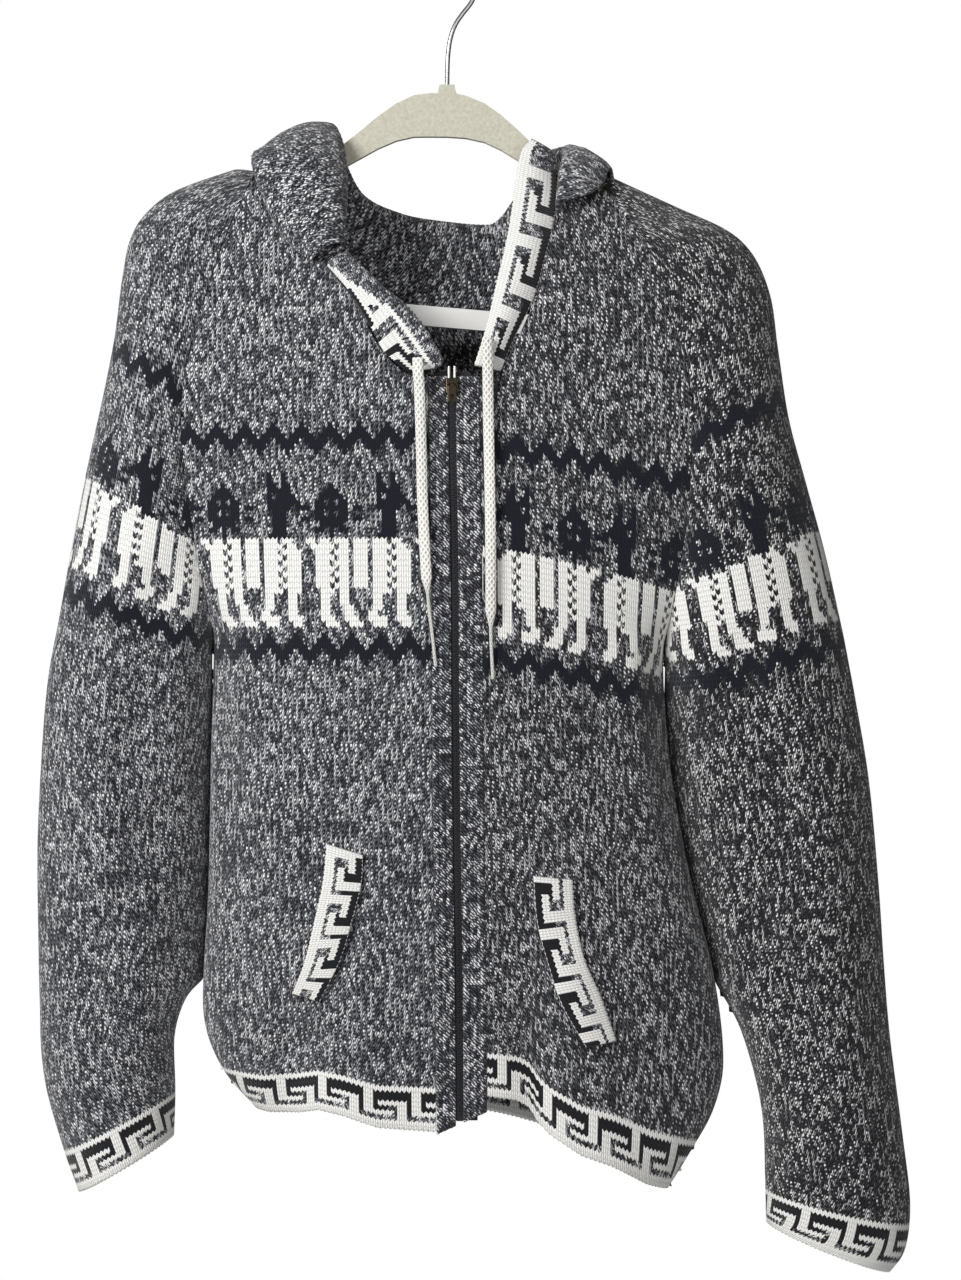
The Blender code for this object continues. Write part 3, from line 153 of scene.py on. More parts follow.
def hermite(keys, values, at):
    keys = np.asarray(keys, float)
    values = np.asarray(values, float)
    at = np.clip(np.asarray(at, float), keys[0], keys[-1])
    steps = np.diff(keys)
    slopes = np.diff(values) / steps
    tangents = np.empty_like(values)
    tangents[0], tangents[-1] = slopes[0], slopes[-1]
    for i in range(1, len(values) - 1):
        mean = (slopes[i - 1] + slopes[i]) / 2
        low = min(abs(slopes[i - 1]), abs(slopes[i]))
        sameWay = slopes[i - 1] * slopes[i] > 0
        tangents[i] = math.copysign(min(abs(mean), 3 * low), mean) if sameWay else 0.0
    i = np.clip(np.searchsorted(keys, at) - 1, 0, len(keys) - 2)
    t = (at - keys[i]) / steps[i]
    low = 2 * t ** 3 - 3 * t ** 2 + 1
    return (low * values[i] + (t ** 3 - 2 * t ** 2 + t) * steps[i] * tangents[i]
            + (1 - low) * values[i + 1] + (t ** 3 - t ** 2) * steps[i] * tangents[i + 1])


def tableAt(rows, column, at):
    return hermite([row[0] for row in rows], [row[column] for row in rows], at)


def sampleRows(rows, places):
    index = np.arange(len(rows), dtype=float)
    return np.stack([hermite(index, column, places) for column in zip(*rows)], axis=1)


def cutAt(table, share):
    return sampleRows(table, [share * (len(table) - 1)])[0]


def runAlong(points):
    return np.concatenate([[0], np.cumsum(np.linalg.norm(np.diff(points, axis=0), axis=1))])


def pointsAt(at, along, points):
    return np.stack([np.interp(at, along, points[:, axis]) for axis in range(3)], axis=-1)


def added(operator, name, **values):
    bpy.ops.object.select_all(action="DESELECT")
    operator(**values)
    bpy.context.object.name = name
    return bpy.context.object


def inEditMode(*steps):
    bpy.ops.object.mode_set(mode="EDIT")
    bpy.ops.mesh.select_all(action="SELECT")
    for step in steps:
        step()
    bpy.ops.object.mode_set(mode="OBJECT")


def facesOutward():
    bpy.ops.mesh.normals_make_consistent(inside=False)


def declare(piece, slotName, *replaced):
    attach(piece, "garment")
    if replaced:
        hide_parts(*replaced)


def onlyMaterial(data, material):
    data.materials.clear()
    data.materials.append(material)


def powerCurve(share, power=knit["power"]):
    return np.maximum(0.0, 1 - np.minimum(1.0, np.abs(share)) ** power) ** (1 / power)


def risen(i):
    # height of a course above the edge; the border's courses are tighter
    return min(i, knit["hemRows"]) * knit["hemCourse"] + max(0, i - knit["hemRows"]) * knit["course"]


def coursesIn(height):
    return int((height - knit["hemRows"] * knit["hemCourse"]) / knit["course"]) + knit["hemRows"]


def foldHeight(x, drop, folds):
    total = np.zeros_like(x)
    for x0, d0, x1, d1, halfWidth, height in folds:
        length2 = (x1 - x0) ** 2 + (d1 - d0) ** 2
        t = ((x - x0) * (x1 - x0) + (drop - d0) * (d1 - d0)) / length2
        near = np.clip(t, 0, 1)
        away = np.hypot(x - x0 - near * (x1 - x0), drop - d0 - near * (d1 - d0))
        past = np.maximum(0.0, np.maximum(-t, t - 1)) * math.sqrt(length2)
        total += height * np.maximum(0.0, 1 - past / 60) * np.exp(-(away / halfWidth) ** 2)
    return total


def bodyDepth(x, drop, side):
    midX, midDepth = tableAt(middleLine, 1, drop), tableAt(middleLine, 2, drop)
    share = (x - midX) / (tableAt(sideTables[side], 1, drop) - midX)
    turn = powerCurve(tableAt(sideTables[side], 2, drop) / midDepth)
    return midDepth * powerCurve(turn * np.clip(share, 0, 1))


def clothY(x, drop, side, face=-1, foldShare=1.0):
    x, drop = np.asarray(x, float), np.asarray(drop, float)
    folds = frontFolds if face < 0 else backFolds
    depth = bodyDepth(x, drop, side) + foldShare * foldHeight(x, drop, folds)
    return face * np.maximum(depth, knit["gap"] / 2)


def bodyRow(midDrop, side, face, count=150):
    # points of one knitted row from the zip line out to the side
    table = sideTables[side]
    fall = float(tableAt(rowFall, 1 if side < 0 else 2, midDrop))
    sideDrop = midDrop + fall
    sideX = float(tableAt(table, 1, sideDrop))
    midX = float(tableAt(middleLine, 1, midDrop))
    turn = float(powerCurve(tableAt(table, 2, sideDrop) / tableAt(middleLine, 2, midDrop)))
    share = np.linspace(0, 1, count)
    reach = np.sin(share * math.asin(min(1.0, turn))) / turn
    x = midX + (sideX - midX) * reach
    drop = midDrop + fall * reach ** 1.4
    y = clothY(x, drop, side, face, np.minimum(1, (1 - share) * 4 + 0.15))
    points = np.stack([x, y, -drop], axis=1)
    lengths = runAlong(points)
    return points, lengths


# charts, one letter a stitch: W white, K black, n navy, . marl. Right column is next to the zip.
llamaChart = (
    "................n..n...",
    "................n..n...",
    "......n.........nn.nn..",
    ".....nnn........nnnnn..",
    "....nnnnn.......n.nnnn.",
    "...nn.n.nn......nnnnnnn",
    "nn.nnnnnnn.nn...nnnnn.n",
    "...nn.n.nn.......nnn...",
    "nn.nnnnnnn.nn....nnn...",
    "....nnnnn........nnn...",
    "...nn.n.nn.......nnn...",
    "......n.........nnnn...",
    ".WW.WW.WWW.WWW.WWW.WW..",
    "..WWWWW.WW.WWW.WWWW.WW.",
    "...WWW.WWW.WWW.WWW.WWWW",
    "...WWWW.WW.WWW.WWWW.WWW",
    "...WWW.WWW.WWW.WWW.WWWW",
    "...WWWW.WW.WWW.WWWW.WWW",
    "...WWW.WWW.WWW.WWW.WWWW",
    "...WWWW.WW.WWW.WWWW.WWW",
    "...WWW.WWW.WWW.WWW.WWWW",
    "....WWW.WW.....WWWW.WWW",
    "....WW..WW.....WW...WW.",
    "....WW..WW.....WW...WW.",
    "....WW...WW....WW...WW.",
    "....WW...WW...WW....WW.",
    "....WWW..WWW..WWWW..WWW",
    ".....WWW..WWW..WWW...WW",
)
hemChart = (
    "WWWWWWWWWW",
    "WWKKKKKKKK",
    "WWKKKKKKKK",
    "WWKWWWWWWK",
    "WWKKK..WWK",
    "WWWWWW.WWK",
    ".......WW.",
    "WWWWWWWWWW",
)
casingChart = (  # first line on the seam, last on the free edge
    "WWWWWWWWWWWWWWWWW",
    "KKKKKKKKKKKWWWKKK",
    "KKKKKKKKKKKWWWKKK",
    "WWWWWWWWWKKWWWK..",
    "WWWWWWWWWKKWWW...",
    "WWW.KKKKKKKWWW...",
    "WWW..KKWWWWWWW...",
    "WWW...WWWWWWWW...",
    "WWW..............",
    "WWWWWWWWWWWWWWWWW",
    "WWWWWWWWWWWWWWWWW",
)
weltChart = (
    "WWWWWWWWWW",
    "KKKKKKKWWK",
    "KKKKKKKWWK",
    "WWWWWKKWWK",
    "WWWWWKKWWK",
    "WW..KKKWWK",
    "WW..WWWWW.",
    "WW..WWWWW.",
    "WW........",
    "WWWWWWWWWW",
    "WWWWWWWWWW",
)
yarnCode = {".": 0.0, "W": 1.0, "K": 2.0, "n": 3.0}
bandRows = {"zigzag": 6, "llamas": 7, "upper": 38}


def zigzag(wale, row):
    # three rows thick, six wales wide
    rise = abs((wale + 3) % 6 - 3)
    return 3.0 if rise <= row < rise + 3 else 0.0


def bandYarn(wale, course, start, lift=0):
    # start is the course on which the lower zigzag begins
    row = course - start
    llamaRow, upperRow = row - bandRows["llamas"], row - bandRows["upper"] - lift
    if 0 <= row < bandRows["zigzag"]:
        return zigzag(wale, bandRows["zigzag"] - 1 - row)
    if 0 <= llamaRow < len(llamaChart):
        return yarnCode[llamaChart[-1 - llamaRow][-1 - wale % len(llamaChart[0])]]
    if 0 <= upperRow < bandRows["zigzag"]:
        return zigzag(wale + 2, bandRows["zigzag"] - 1 - upperRow)
    return 0.0


def knitSheet(name, grid, lengths, settings, chart, material, slotName):
    # grid: courses by half wales of points in mm; every leg of a stitch becomes one face
    rows, columns = grid.shape[:2]
    first = settings.get("firstColumn", 0)
    count = settings["courses"]
    lowest = settings.get("lowest", np.zeros(columns))
    highest = settings.get("highest", np.full(columns, float(count)))
    warp = settings.get("warp", np.zeros(columns))
    vertexPlace = np.empty((count + 2, columns, 3))
    uvU = np.empty((count + 2, columns))
    uvV = np.empty((count + 2, columns))
    index = np.arange(rows, dtype=float)
    course = np.arange(-1, count + 1, dtype=float) + 0.5
    for j in range(columns):
        zig = -0.25 if (j + first) % 2 else 0.25
        place = course + zig + 0.5
        edge = np.clip(place, lowest[j], highest[j])
        at = edge + warp[j] * np.maximum(0.0, 1 - edge / settings.get("warpRows", 1e9))
        vertexPlace[:, j] = pointsAt(at, index, grid[:, j])
        uvU[:, j] = np.interp(at, index, lengths[:, j])
        uvV[:, j] = edge - zig
    vertices = vertexPlace.reshape(-1, 3) * mm
    i, j = np.meshgrid(np.arange(count + 1), np.arange(columns - 1), indexing="ij")
    corner = (i * columns + j).ravel()
    faces = np.stack([corner, corner + 1, corner + columns + 1, corner + columns], axis=1)
    quads = vertices[faces]
    area = np.linalg.norm(np.cross(quads[:, 2] - quads[:, 0], quads[:, 3] - quads[:, 1]), axis=1)
    kept = area > knit["smallestFace"]
    faces, cellRow, cellColumn = faces[kept], i.ravel()[kept] - 1, j.ravel()[kept] + first
    piece = added(bpy.ops.mesh.primitive_grid_add, name, x_subdivisions=2, y_subdivisions=2, size=0.1)
    data = bpy.data.meshes.new(name)
    data.from_pydata(vertices.tolist(), [], faces.tolist())
    piece.data = data
    yarn = data.attributes.new("yarn", "FLOAT", "FACE")
    cells = zip(cellColumn.tolist(), cellRow.tolist())
    yarn.data.foreach_set("value", [chart(c // 2, r) for c, r in cells])
    uvMap = data.uv_layers.new(name="stitch")
    flat = faces.ravel()
    uvMap.data.foreach_set("uv", np.stack([uvU.ravel()[flat], uvV.ravel()[flat]], axis=1).ravel())
    data.materials.append(material)
    inEditMode(lambda: bpy.ops.mesh.remove_doubles(threshold=knit["weld"]), bpy.ops.mesh.delete_loose,
               facesOutward)
    centre = np.array(settings["inside"]) * mm
    co = np.array([tuple(f.center) for f in data.polygons])
    no = np.array([tuple(f.normal) for f in data.polygons])
    if ((co - centre) * no).sum() < 0:
        inEditMode(bpy.ops.mesh.flip_normals)
    data.shade_smooth()
    wall = piece.modifiers.new("wall", "SOLIDIFY")
    wall.thickness = settings.get("wall", knit["wall"])
    wall.offset = -1
    wall.use_even_offset = False
    # the cut: its size in the photo where settings give it, or else stitches and courses at the gauge
    if "flatWidth" in settings:
        flat = (settings["flatWidth"], settings["flatLength"])
    else:
        flat = (float(np.ptp(uvU)) * halfWale, float(np.ptp(uvV)) * knit["course"])
    declare(piece, slotName, *settings["replaces"])


def columnsAt(rowLines, low, high, spare=1):
    # each row's line is cut to its two ends and read at every half wale
    first, last = int(min(low) / halfWale) - spare, int(max(high) / halfWale) + 1
    places = np.arange(first, last + 1) * halfWale
    grid = np.empty((len(rowLines), len(places), 3))
    lengths = np.empty((len(rowLines), len(places)))
    for i, (points, along) in enumerate(rowLines):
        at = np.clip(places, low[i], high[i])
        grid[i] = pointsAt(at, along, points)
        lengths[i] = at / halfWale
    return grid, lengths, first, places


def node(tree, kind, **values):
    made = tree.nodes.new(kind)
    for key, value in values.items():
        setattr(made, key, value)
    return made


def mathNode(tree, operation, a, b=None, c=None, clamp=False):
    made = node(tree, "ShaderNodeMath", operation=operation, use_clamp=clamp)
    for socket, value in zip(made.inputs, (a, b, c)):
        if value is None:
            continue
        if isinstance(value, (int, float)):
            socket.default_value = value
        else:
            tree.links.new(value, socket)
    return made.outputs[0]


def mixColour(tree, factor, a, b, blend="MIX"):
    made = node(tree, "ShaderNodeMix", data_type="RGBA", blend_type=blend)
    for socket, value in ((made.inputs[0], factor), (made.inputs[6], a), (made.inputs[7], b)):
        if isinstance(value, (int, float, tuple)):
            socket.default_value = value
        else:
            tree.links.new(value, socket)
    return made.outputs[2]


def srgb(r, g, b):
    return tuple(((c / 255 + 0.055) / 1.055) ** 2.4 if c > 10 else c / 255 / 12.92
                 for c in (r, g, b)) + (1.0,)


def newMaterial(name, roughness):
    material = bpy.data.materials.new(name)
    material.use_nodes = True
    tree = material.node_tree
    shader = tree.nodes["Principled BSDF"]
    shader.inputs["Roughness"].default_value = roughness
    return material, tree, shader


def paint(tree, shader, factor, low, high):
    # base colour between two tones, written 0 to 255
    mixed = mixColour(tree, factor, srgb(*low), srgb(*high))
    tree.links.new(mixed, shader.inputs["Base Color"])


def uvParts(tree, name):
    uvMap = node(tree, "ShaderNodeUVMap", uv_map=name)
    split = node(tree, "ShaderNodeSeparateXYZ")
    tree.links.new(uvMap.outputs[0], split.inputs[0])
    return split.outputs[0], split.outputs[1]


def objectNoise(tree, scale, detail=2.0):
    # noise read at the object's own coordinates
    coordinates = node(tree, "ShaderNodeTexCoord")
    made = node(tree, "ShaderNodeTexNoise")
    made.inputs["Scale"].default_value = scale
    made.inputs["Detail"].default_value = detail
    tree.links.new(coordinates.outputs["Object"], made.inputs["Vector"])
    return made.outputs[0]


def bumpFrom(tree, shader, height, strength, distance):
    bump = node(tree, "ShaderNodeBump")
    bump.inputs["Strength"].default_value = strength
    bump.inputs["Distance"].default_value = distance
    tree.links.new(height, bump.inputs["Height"])
    tree.links.new(bump.outputs[0], shader.inputs["Normal"])


knitLook = {"darkest": (10, 11, 16), "dark": (41, 42, 49), "middle": (83, 84, 90),
            "light": (131, 132, 137), "lightest": (184, 184, 187), "white": (252, 251, 247),
            "black": (24, 25, 30), "navy": (19, 22, 34), "legShare": 0.66, "plyShare": 0.3}


def shaded(share):
    # painted shade: a darker copy of the marl for the wearer's left, the side turned away from the key
    # light
    tones = ("darkest", "dark", "middle", "light", "lightest")
    return dict(knitLook, **{key: tuple(c * share for c in knitLook[key]) for key in tones})


def knitMaterial(name, seed, look=knitLook):
    material, tree, shader = newMaterial(name, 0.92)
    calc, link = partial(mathNode, tree), tree.links.new
    u, v = uvParts(tree, "stitch")
    fu, fv = calc("FRACT", u), calc("FRACT", v)
    cell = node(tree, "ShaderNodeCombineXYZ")
    link(calc("FLOOR", u), cell.inputs[0])
    link(calc("FLOOR", v), cell.inputs[1])
    cell.inputs[2].default_value = seed
    random = node(tree, "ShaderNodeTexWhiteNoise", noise_dimensions="3D")
    link(cell.outputs[0], random.inputs["Vector"])
    chance = random.outputs["Value"]
    # two twisted strands in each leg, one dark and one pale
    lean = calc("MULTIPLY_ADD", fv, 1.1, calc("MULTIPLY_ADD", fu, 0.9, chance))
    strand = calc("SINE", calc("MULTIPLY", lean, 2 * math.pi))
    slub = node(tree, "ShaderNodeTexNoise")
    slub.inputs["Scale"].default_value = 1.0
    slub.inputs["Detail"].default_value = 1.0
    stretch = node(tree, "ShaderNodeCombineXYZ")
    link(calc("MULTIPLY", u, 0.7), stretch.inputs[0])
    link(calc("MULTIPLY", v, 0.35), stretch.inputs[1])
    stretch.inputs[2].default_value = seed
    link(stretch.outputs[0], slub.inputs["Vector"])
    tone = calc("MULTIPLY_ADD", calc("SUBTRACT", chance, 0.5), look["legShare"], 0.5)
    tone = calc("MULTIPLY_ADD", strand, look["plyShare"], tone)
    tone = calc("MULTIPLY_ADD", calc("SUBTRACT", slub.outputs[0], 0.5), 0.7, tone, clamp=True)
    ramp = node(tree, "ShaderNodeValToRGB")
    stops = (("darkest", 0.0), ("dark", 0.27), ("middle", 0.5), ("light", 0.74), ("lightest", 1.0))
    for k, (key, place) in enumerate(stops):
        stop = ramp.color_ramp.elements[0] if k == 0 else ramp.color_ramp.elements.new(place)
        stop.position = place
        stop.color = srgb(*look[key])
    ramp.color_ramp.elements.remove(ramp.color_ramp.elements[-1])
    link(tone, ramp.inputs[0])
    yarn = node(tree, "ShaderNodeAttribute", attribute_name="yarn")
    kind = yarn.outputs["Fac"]
    colour = ramp.outputs[0]
    for code, key in ((1.0, "white"), (2.0, "black"), (3.0, "navy")):
        isThis = calc("COMPARE", kind, code, 0.4)
        colour = mixColour(tree, isThis, colour, srgb(*look[key]))
    # the gaps between legs lie in shadow
    acrossLeg = calc("ABSOLUTE", calc("MULTIPLY_ADD", fu, 2.0, -1.0))
    alongLeg = calc("ABSOLUTE", calc("MULTIPLY_ADD", fv, 2.0, -1.0))
    gap = calc("MAXIMUM", calc("POWER", acrossLeg, 3.0), calc("POWER", alongLeg, 6.0))
    pale = calc("COMPARE", kind, 1.0, 0.4)
    depth = calc("MULTIPLY", gap, calc("MULTIPLY_ADD", pale, -0.3, 0.55))
    colour = mixColour(tree, depth, colour, (0.25, 0.25, 0.27, 1.0), "MULTIPLY")
    link(colour, shader.inputs["Base Color"])
    height = calc("MULTIPLY_ADD", strand, 0.12, calc("SUBTRACT", 1.0, gap))
    bumpFrom(tree, shader, height, 0.7, 0.0007)
    shader.inputs["Sheen Weight"].default_value = 0.25
    shader.inputs["Sheen Roughness"].default_value = 0.5
    shader.inputs["Specular IOR Level"].default_value = 0.2
    return material


marl = knitMaterial("marl_knit", 3.0)
# the wearer's left front and left sleeve take darker copies of the marl: painted shade
frontMarlsLitAndShaded = {-1: marl, 1: knitMaterial("marl_knit_front_painted_shade", 4.0, shaded(0.8))}
sleeveMarlsLitAndShaded = {-1: marl, 1: knitMaterial("marl_knit_sleeve_painted_shade", 6.0, shaded(0.58))}
keyKnit = knitMaterial("key_knit", 7.0)

# fronts, from the hem up; s is measured along each row from the zip
front = {"top": {-1: 157, 1: 163}, "facing": {-1: 17, 1: 20}, "band": {-1: 84, 1: 83},
         "firstWale": 9, "backWale": 241, "warpRows": {-1: 40.0, 1: 60.0}}
hemLift = {  # distance from the zip, courses by which the hem is drawn up there
    -1: ((0, 0), (60, 0.3), (85, 2.2), (105, 2.8), (125, 1.2), (150, 0)),
    1: ((0, 8), (43, 8.2), (52, 7.4), (60, 4.6), (68, 3.2), (92, 1.3), (118, 1.2), (150, 0))}


def frontRows(side):
    rows, low, high = [], [], []
    count = coursesIn(knit["hemDrop"] - front["top"][side] - 5)
    for i in range(count + 2):
        midDrop = max(knit["hemDrop"] - risen(i), front["top"][side] + 5)
        points, along = bodyRow(midDrop, side, -1)
        start = float(np.interp(front["facing"][side] + 0.3, np.abs(points[:, 0] - points[0, 0]), along))
        if midDrop < neckLine[-1][0]:
            necks = tableAt(neckLine, 1 if side < 0 else 2, -points[:, 2])
            past = (points[:, 0] - necks) * side
            start = float(np.interp(0.0, past, along)) if past[0] < 0 else along[0]
        raglan = tableAt(sideTables[side], 2, -points[-1, 2]) > 0
        rows.append((points, along))
        low.append(min(start, along[-1] - 1))
        high.append(along[-1] - (knit["seam"] if raglan else 0.0))
    return rows, low, high, count


def keyYarn(chart, wale, row):
    # row counts from the free edge
    return yarnCode[chart[-1 - max(0, row)][-1 - wale % len(chart[0])]] if row < len(chart) else 0.0


for side in (-1, 1):
    rows, low, high, count = frontRows(side)
    grid, lengths, first, places = columnsAt(rows, low, high, 0)
    warp = np.interp(places, *zip(*hemLift[side]))

    def frontYarn(wale, course, side=side):
        if course < knit["hemRows"]:
            return keyYarn(hemChart, wale, course)
        return bandYarn(wale - front["firstWale"], course, front["band"][side])

    knitSheet(f"front_{sideWord[side]}_knit", grid, lengths, {
        "courses": count, "firstColumn": first, "warp": warp, "warpRows": front["warpRows"][side],
        "inside": (0, 40, -520), "restsOn": ["hanger"], "replaces": [f"front_{sideWord[side]}"]},
        frontYarn, frontMarlsLitAndShaded[side], "marl_knit")

# back, one piece from side to side
rows, low, high = [], [], []
count = coursesIn(knit["hemDrop"] - 168)
for i in range(count + 2):
    midDrop = max(knit["hemDrop"] - risen(i), 168)
    rightPoints, rightAlong = bodyRow(midDrop, -1, 1)
    leftPoints, leftAlong = bodyRow(midDrop, 1, 1)
    rows.append((np.concatenate([rightPoints[:0:-1], leftPoints]),
                 np.concatenate([-rightAlong[:0:-1], leftAlong])))
    rightSeam = tableAt(rightSide, 2, -rightPoints[-1, 2]) > 0
    leftSeam = tableAt(leftSide, 2, -leftPoints[-1, 2]) > 0
    low.append(-rightAlong[-1] + (knit["seam"] if rightSeam else 0.0))
    high.append(leftAlong[-1] - (knit["seam"] if leftSeam else 0.0))
grid, lengths, first, places = columnsAt(rows, low, high)
highest = np.full(grid.shape[1], float(count))
for j in range(grid.shape[1]):
    inside = -grid[:, j, 2] - np.interp(grid[:, j, 0], [p[0] for p in backNeck], [p[1] for p in backNeck],
                                        left=0, right=0)
    above = np.nonzero(inside < 0)[0]
    if len(above):
        k = above[0]
        highest[j] = min(count, k - 1 + inside[k - 1] / (inside[k - 1] - inside[k]))


def backYarn(wale, course):
    if course < knit["hemRows"]:
        return keyYarn(hemChart, wale, course)
    return bandYarn(wale + front["backWale"], course, front["band"][-1])


knitSheet("back_knit", grid, lengths, {
    "courses": count, "firstColumn": first, "highest": highest, "inside": (0, -60, -520),
    "restsOn": ["hanger"], "replaces": ["back"]},
    backYarn, marl, "marl_knit")

# sleeves: sections from the shoulder down, each open along the raglan, then a tube
sleeve = {"band": {-1: 101, 1: 109}, "sag": {-1: 3.0, 1: 4.0}, "firstWale": {-1: 234, 1: 236},
          "lift": 7, "gap": 1.2, "setback": 14, "tuck": 1.4, "contact": (530, 575, 745, 800)}


def sleeveSections(side):
    table = rightSleeve if side < 0 else leftSleeve
    sideTable = sideTables[side]
    seamRows = [row for row in table if row[2] is None]
    keys = [row[3] for row in seamRows]
    topDrop = 162 if side < 0 else 169
    seamDrop = np.linspace(topDrop, keys[-1], 90)
    upper = np.stack([hermite(keys, [row[0] for row in seamRows], seamDrop),
                      hermite(keys, [row[1] for row in seamRows], seamDrop),
                      tableAt(sideTable, 1, seamDrop), seamDrop,
                      hermite(keys, [row[4] for row in seamRows], seamDrop),
                      tableAt(sideTable, 2, seamDrop)], axis=1)
    end = seamRows[-1]
    armX = float(tableAt(sideTable, 1, keys[-1])) + side * sleeve["gap"]
    tube = [(end[0], end[1], armX, end[3], end[4])] + [row for row in table if row[2] is not None]
    lower = sampleRows(tube, np.linspace(0, len(tube) - 1, 120))[1:]
    lower = np.concatenate([lower, np.zeros((len(lower), 1))], axis=1)
    beside = tableAt(sideTable, 1, lower[:, 3]) * side + sleeve["gap"]
    lower[:, 2] = side * np.maximum(side * lower[:, 2], beside)
    return np.concatenate([upper, lower])


def sleeveRow(section, side, count=160):
    # below the arm the inner edge is tucked behind the side seam
    outerX, outerDrop, innerX, innerDrop, depth, seamDepth = section
    reach = math.sqrt(max(0.0, 1 - (min(seamDepth, depth * 0.999) / depth) ** 2))
    angle = np.linspace(-1, 1, 2 * count + 1) * math.acos(-reach)
    across = (1 - np.cos(angle)) / (1 + reach)
    x = outerX + (innerX - outerX) * across
    drop = outerDrop + (innerDrop - outerDrop) * across
    swell = depth * np.sin(np.abs(angle))
    folds = np.where(angle > 0, foldHeight(x, drop, frontFolds), foldHeight(x, drop, backFolds))
    swell = swell + folds * np.sin(np.abs(angle)) * np.minimum(1.0, across * 5)
    y = -np.sign(angle) * np.maximum(0, swell)
    if seamDepth <= 0:
        start, full, hold, end = sleeve["contact"]
        near = min(max(min((innerDrop - start) / (full - start), (end - innerDrop) / (end - hold)), 0), 1)
        near = near * near * (3 - 2 * near)
        y = y + sleeve["setback"] * near * across ** 2
        x = x - side * sleeve["tuck"] * near * across ** 2
    points = np.stack([x, y, -drop], axis=1)
    steps = runAlong(points)
    return points, steps - steps[count]


for side in (-1, 1):
    sections = sleeveSections(side)
    outer = np.linalg.norm(np.diff(sections[:, 0:2], axis=0), axis=1)
    inner = np.linalg.norm(np.diff(sections[:, 2:4], axis=0), axis=1)
    down = np.concatenate([[0], np.cumsum((outer + inner) / 2)])
    count = coursesIn(down[-1])
    rows, low, high = [], [], []
    for i in range(count + 2):
        at = max(0.0, down[-1] - risen(i))
        section = [float(np.interp(at, down, sections[:, c])) for c in range(6)]
        points, along = sleeveRow(section, side)
        rows.append((points, along))
        trim = 0.3 if section[5] > 0 else 0.0
        low.append(along[0] + trim)
        high.append(along[-1] - trim)
    grid, lengths, first, places = columnsAt(rows, low, high)

    def sleeveYarn(wale, course, side=side):
        if course < knit["hemRows"]:
            return keyYarn(hemChart, wale, course)
        # the band sags towards the seams
        dip = int(round(sleeve["sag"][side] * min(1.0, abs(wale * knit["wale"]) / 110) ** 2))
        return bandYarn(wale + sleeve["firstWale"][side], course + dip, sleeve["band"][side],
                        sleeve["lift"])

    knitSheet(f"sleeve_{sideWord[side]}_knit", grid, lengths, {
        "courses": count, "firstColumn": first, "inside": (side * 235, 0, -600),
        "restsOn": ["hanger"],
        "replaces": [f"sleeve_{sideWord[side]}"]},
        sleeveYarn, sleeveMarlsLitAndShaded[side], "marl_knit")

# hood, thrown back; every profile runs from the neck seam over the ridge to the rim
hood = {"stations": 29, "casing": (8, 19), "casingWidth": 30, "casingSteps": 220, "profilePoints": 120,
        "neckSamples": 400, "ridgePoint": 25}


def hoodProfiles(places):
    cells = [[value for cell in row for value in cell] for row in hoodRows]
    scale = (len(cells) - 1) / (hood["stations"] - 1)
    result = []
    for values in sampleRows(cells, np.asarray(places) * scale):
        points = sampleRows(values.reshape(-1, 3), np.linspace(0, 6, hood["profilePoints"]))
        points[:, 2] *= -1
        steps = runAlong(points)
        result.append((points, steps))
    return result


dense = np.linspace(0, hood["stations"] - 1, hood["neckSamples"])
ridge = np.array([points[hood["ridgePoint"]] for points, _ in hoodProfiles(dense)])
roundNeck = runAlong(ridge)
columns = int(roundNeck[-1] / halfWale)
stationAt = np.interp(np.arange(columns + 1) * roundNeck[-1] / columns, roundNeck, dense)
profiles = hoodProfiles(stationAt)
covered = np.clip(np.minimum(stationAt - hood["casing"][0] + 1, hood["casing"][1] + 1 - stationAt), 0, 1)
ends = np.array([steps[-1] for _, steps in profiles])
hoodEnds = ends - np.where(covered >= 1, hood["casingWidth"] + 0.3, 0)
count = int(hoodEnds.max() / knit["course"]) + 1
grid = np.empty((count + 2, columns + 1, 3))
lengths = np.tile(np.arange(columns + 1, dtype=float), (count + 2, 1))
for j, (points, steps) in enumerate(profiles):
    at = np.clip(np.arange(count + 2) * knit["course"], 0, ends[j])
    grid[:, j] = pointsAt(at, steps, points)
knitSheet("hood_knit", grid, lengths, {
    "courses": count, "highest": hoodEnds / knit["course"], "inside": (0, 60, -260),
    "restsOn": ["front_left_knit", "front_right_knit"],
    "replaces": ["hood"]}, lambda wale, course: 0.0, marl, "marl_knit")


def keyStrip(name, pointAt, settings, yarnAt):
    # pointAt(share along, share across) with across 0 on the seam and 1 on the free edge
    along, across = settings["along"], settings["rows"]
    dense = np.linspace(0, 1, 221)
    middle = np.array([pointAt(share, 0.5) for share in dense])
    run = runAlong(middle)
    shares = np.interp(np.linspace(0, run[-1], along * 2 + 1), run, dense)
    grid = np.empty((across + 2, along * 2 + 1, 3))
    for j, share in enumerate(shares):
        line = np.array([pointAt(share, k / 40) for k in range(41)])
        steps = runAlong(line)
        at = np.linspace(steps[-1], 0, across + 1)
        grid[:across + 1, j] = pointsAt(at, steps, line)
        grid[across + 1, j] = grid[across, j]
    lengths = np.tile(np.arange(along * 2 + 1, dtype=float), (across + 2, 1))
    knitSheet(name, grid, lengths, dict(settings, courses=across), yarnAt, keyKnit, "key_knit")


def leftCasingPoint(along, across):
    seamX, seamDrop, edgeX, edgeY, edgeDrop, crown, lean = cutAt(leftCasing, along)
    seamY = float(clothY(seamX + 1, seamDrop, 1)) + lean
    x, drop = seamX + (edgeX - seamX) * across, seamDrop + (edgeDrop - seamDrop) * across
    return x - 0.2, seamY + (edgeY - seamY) * across - crown * math.sin(math.pi * across) - 0.4, -drop


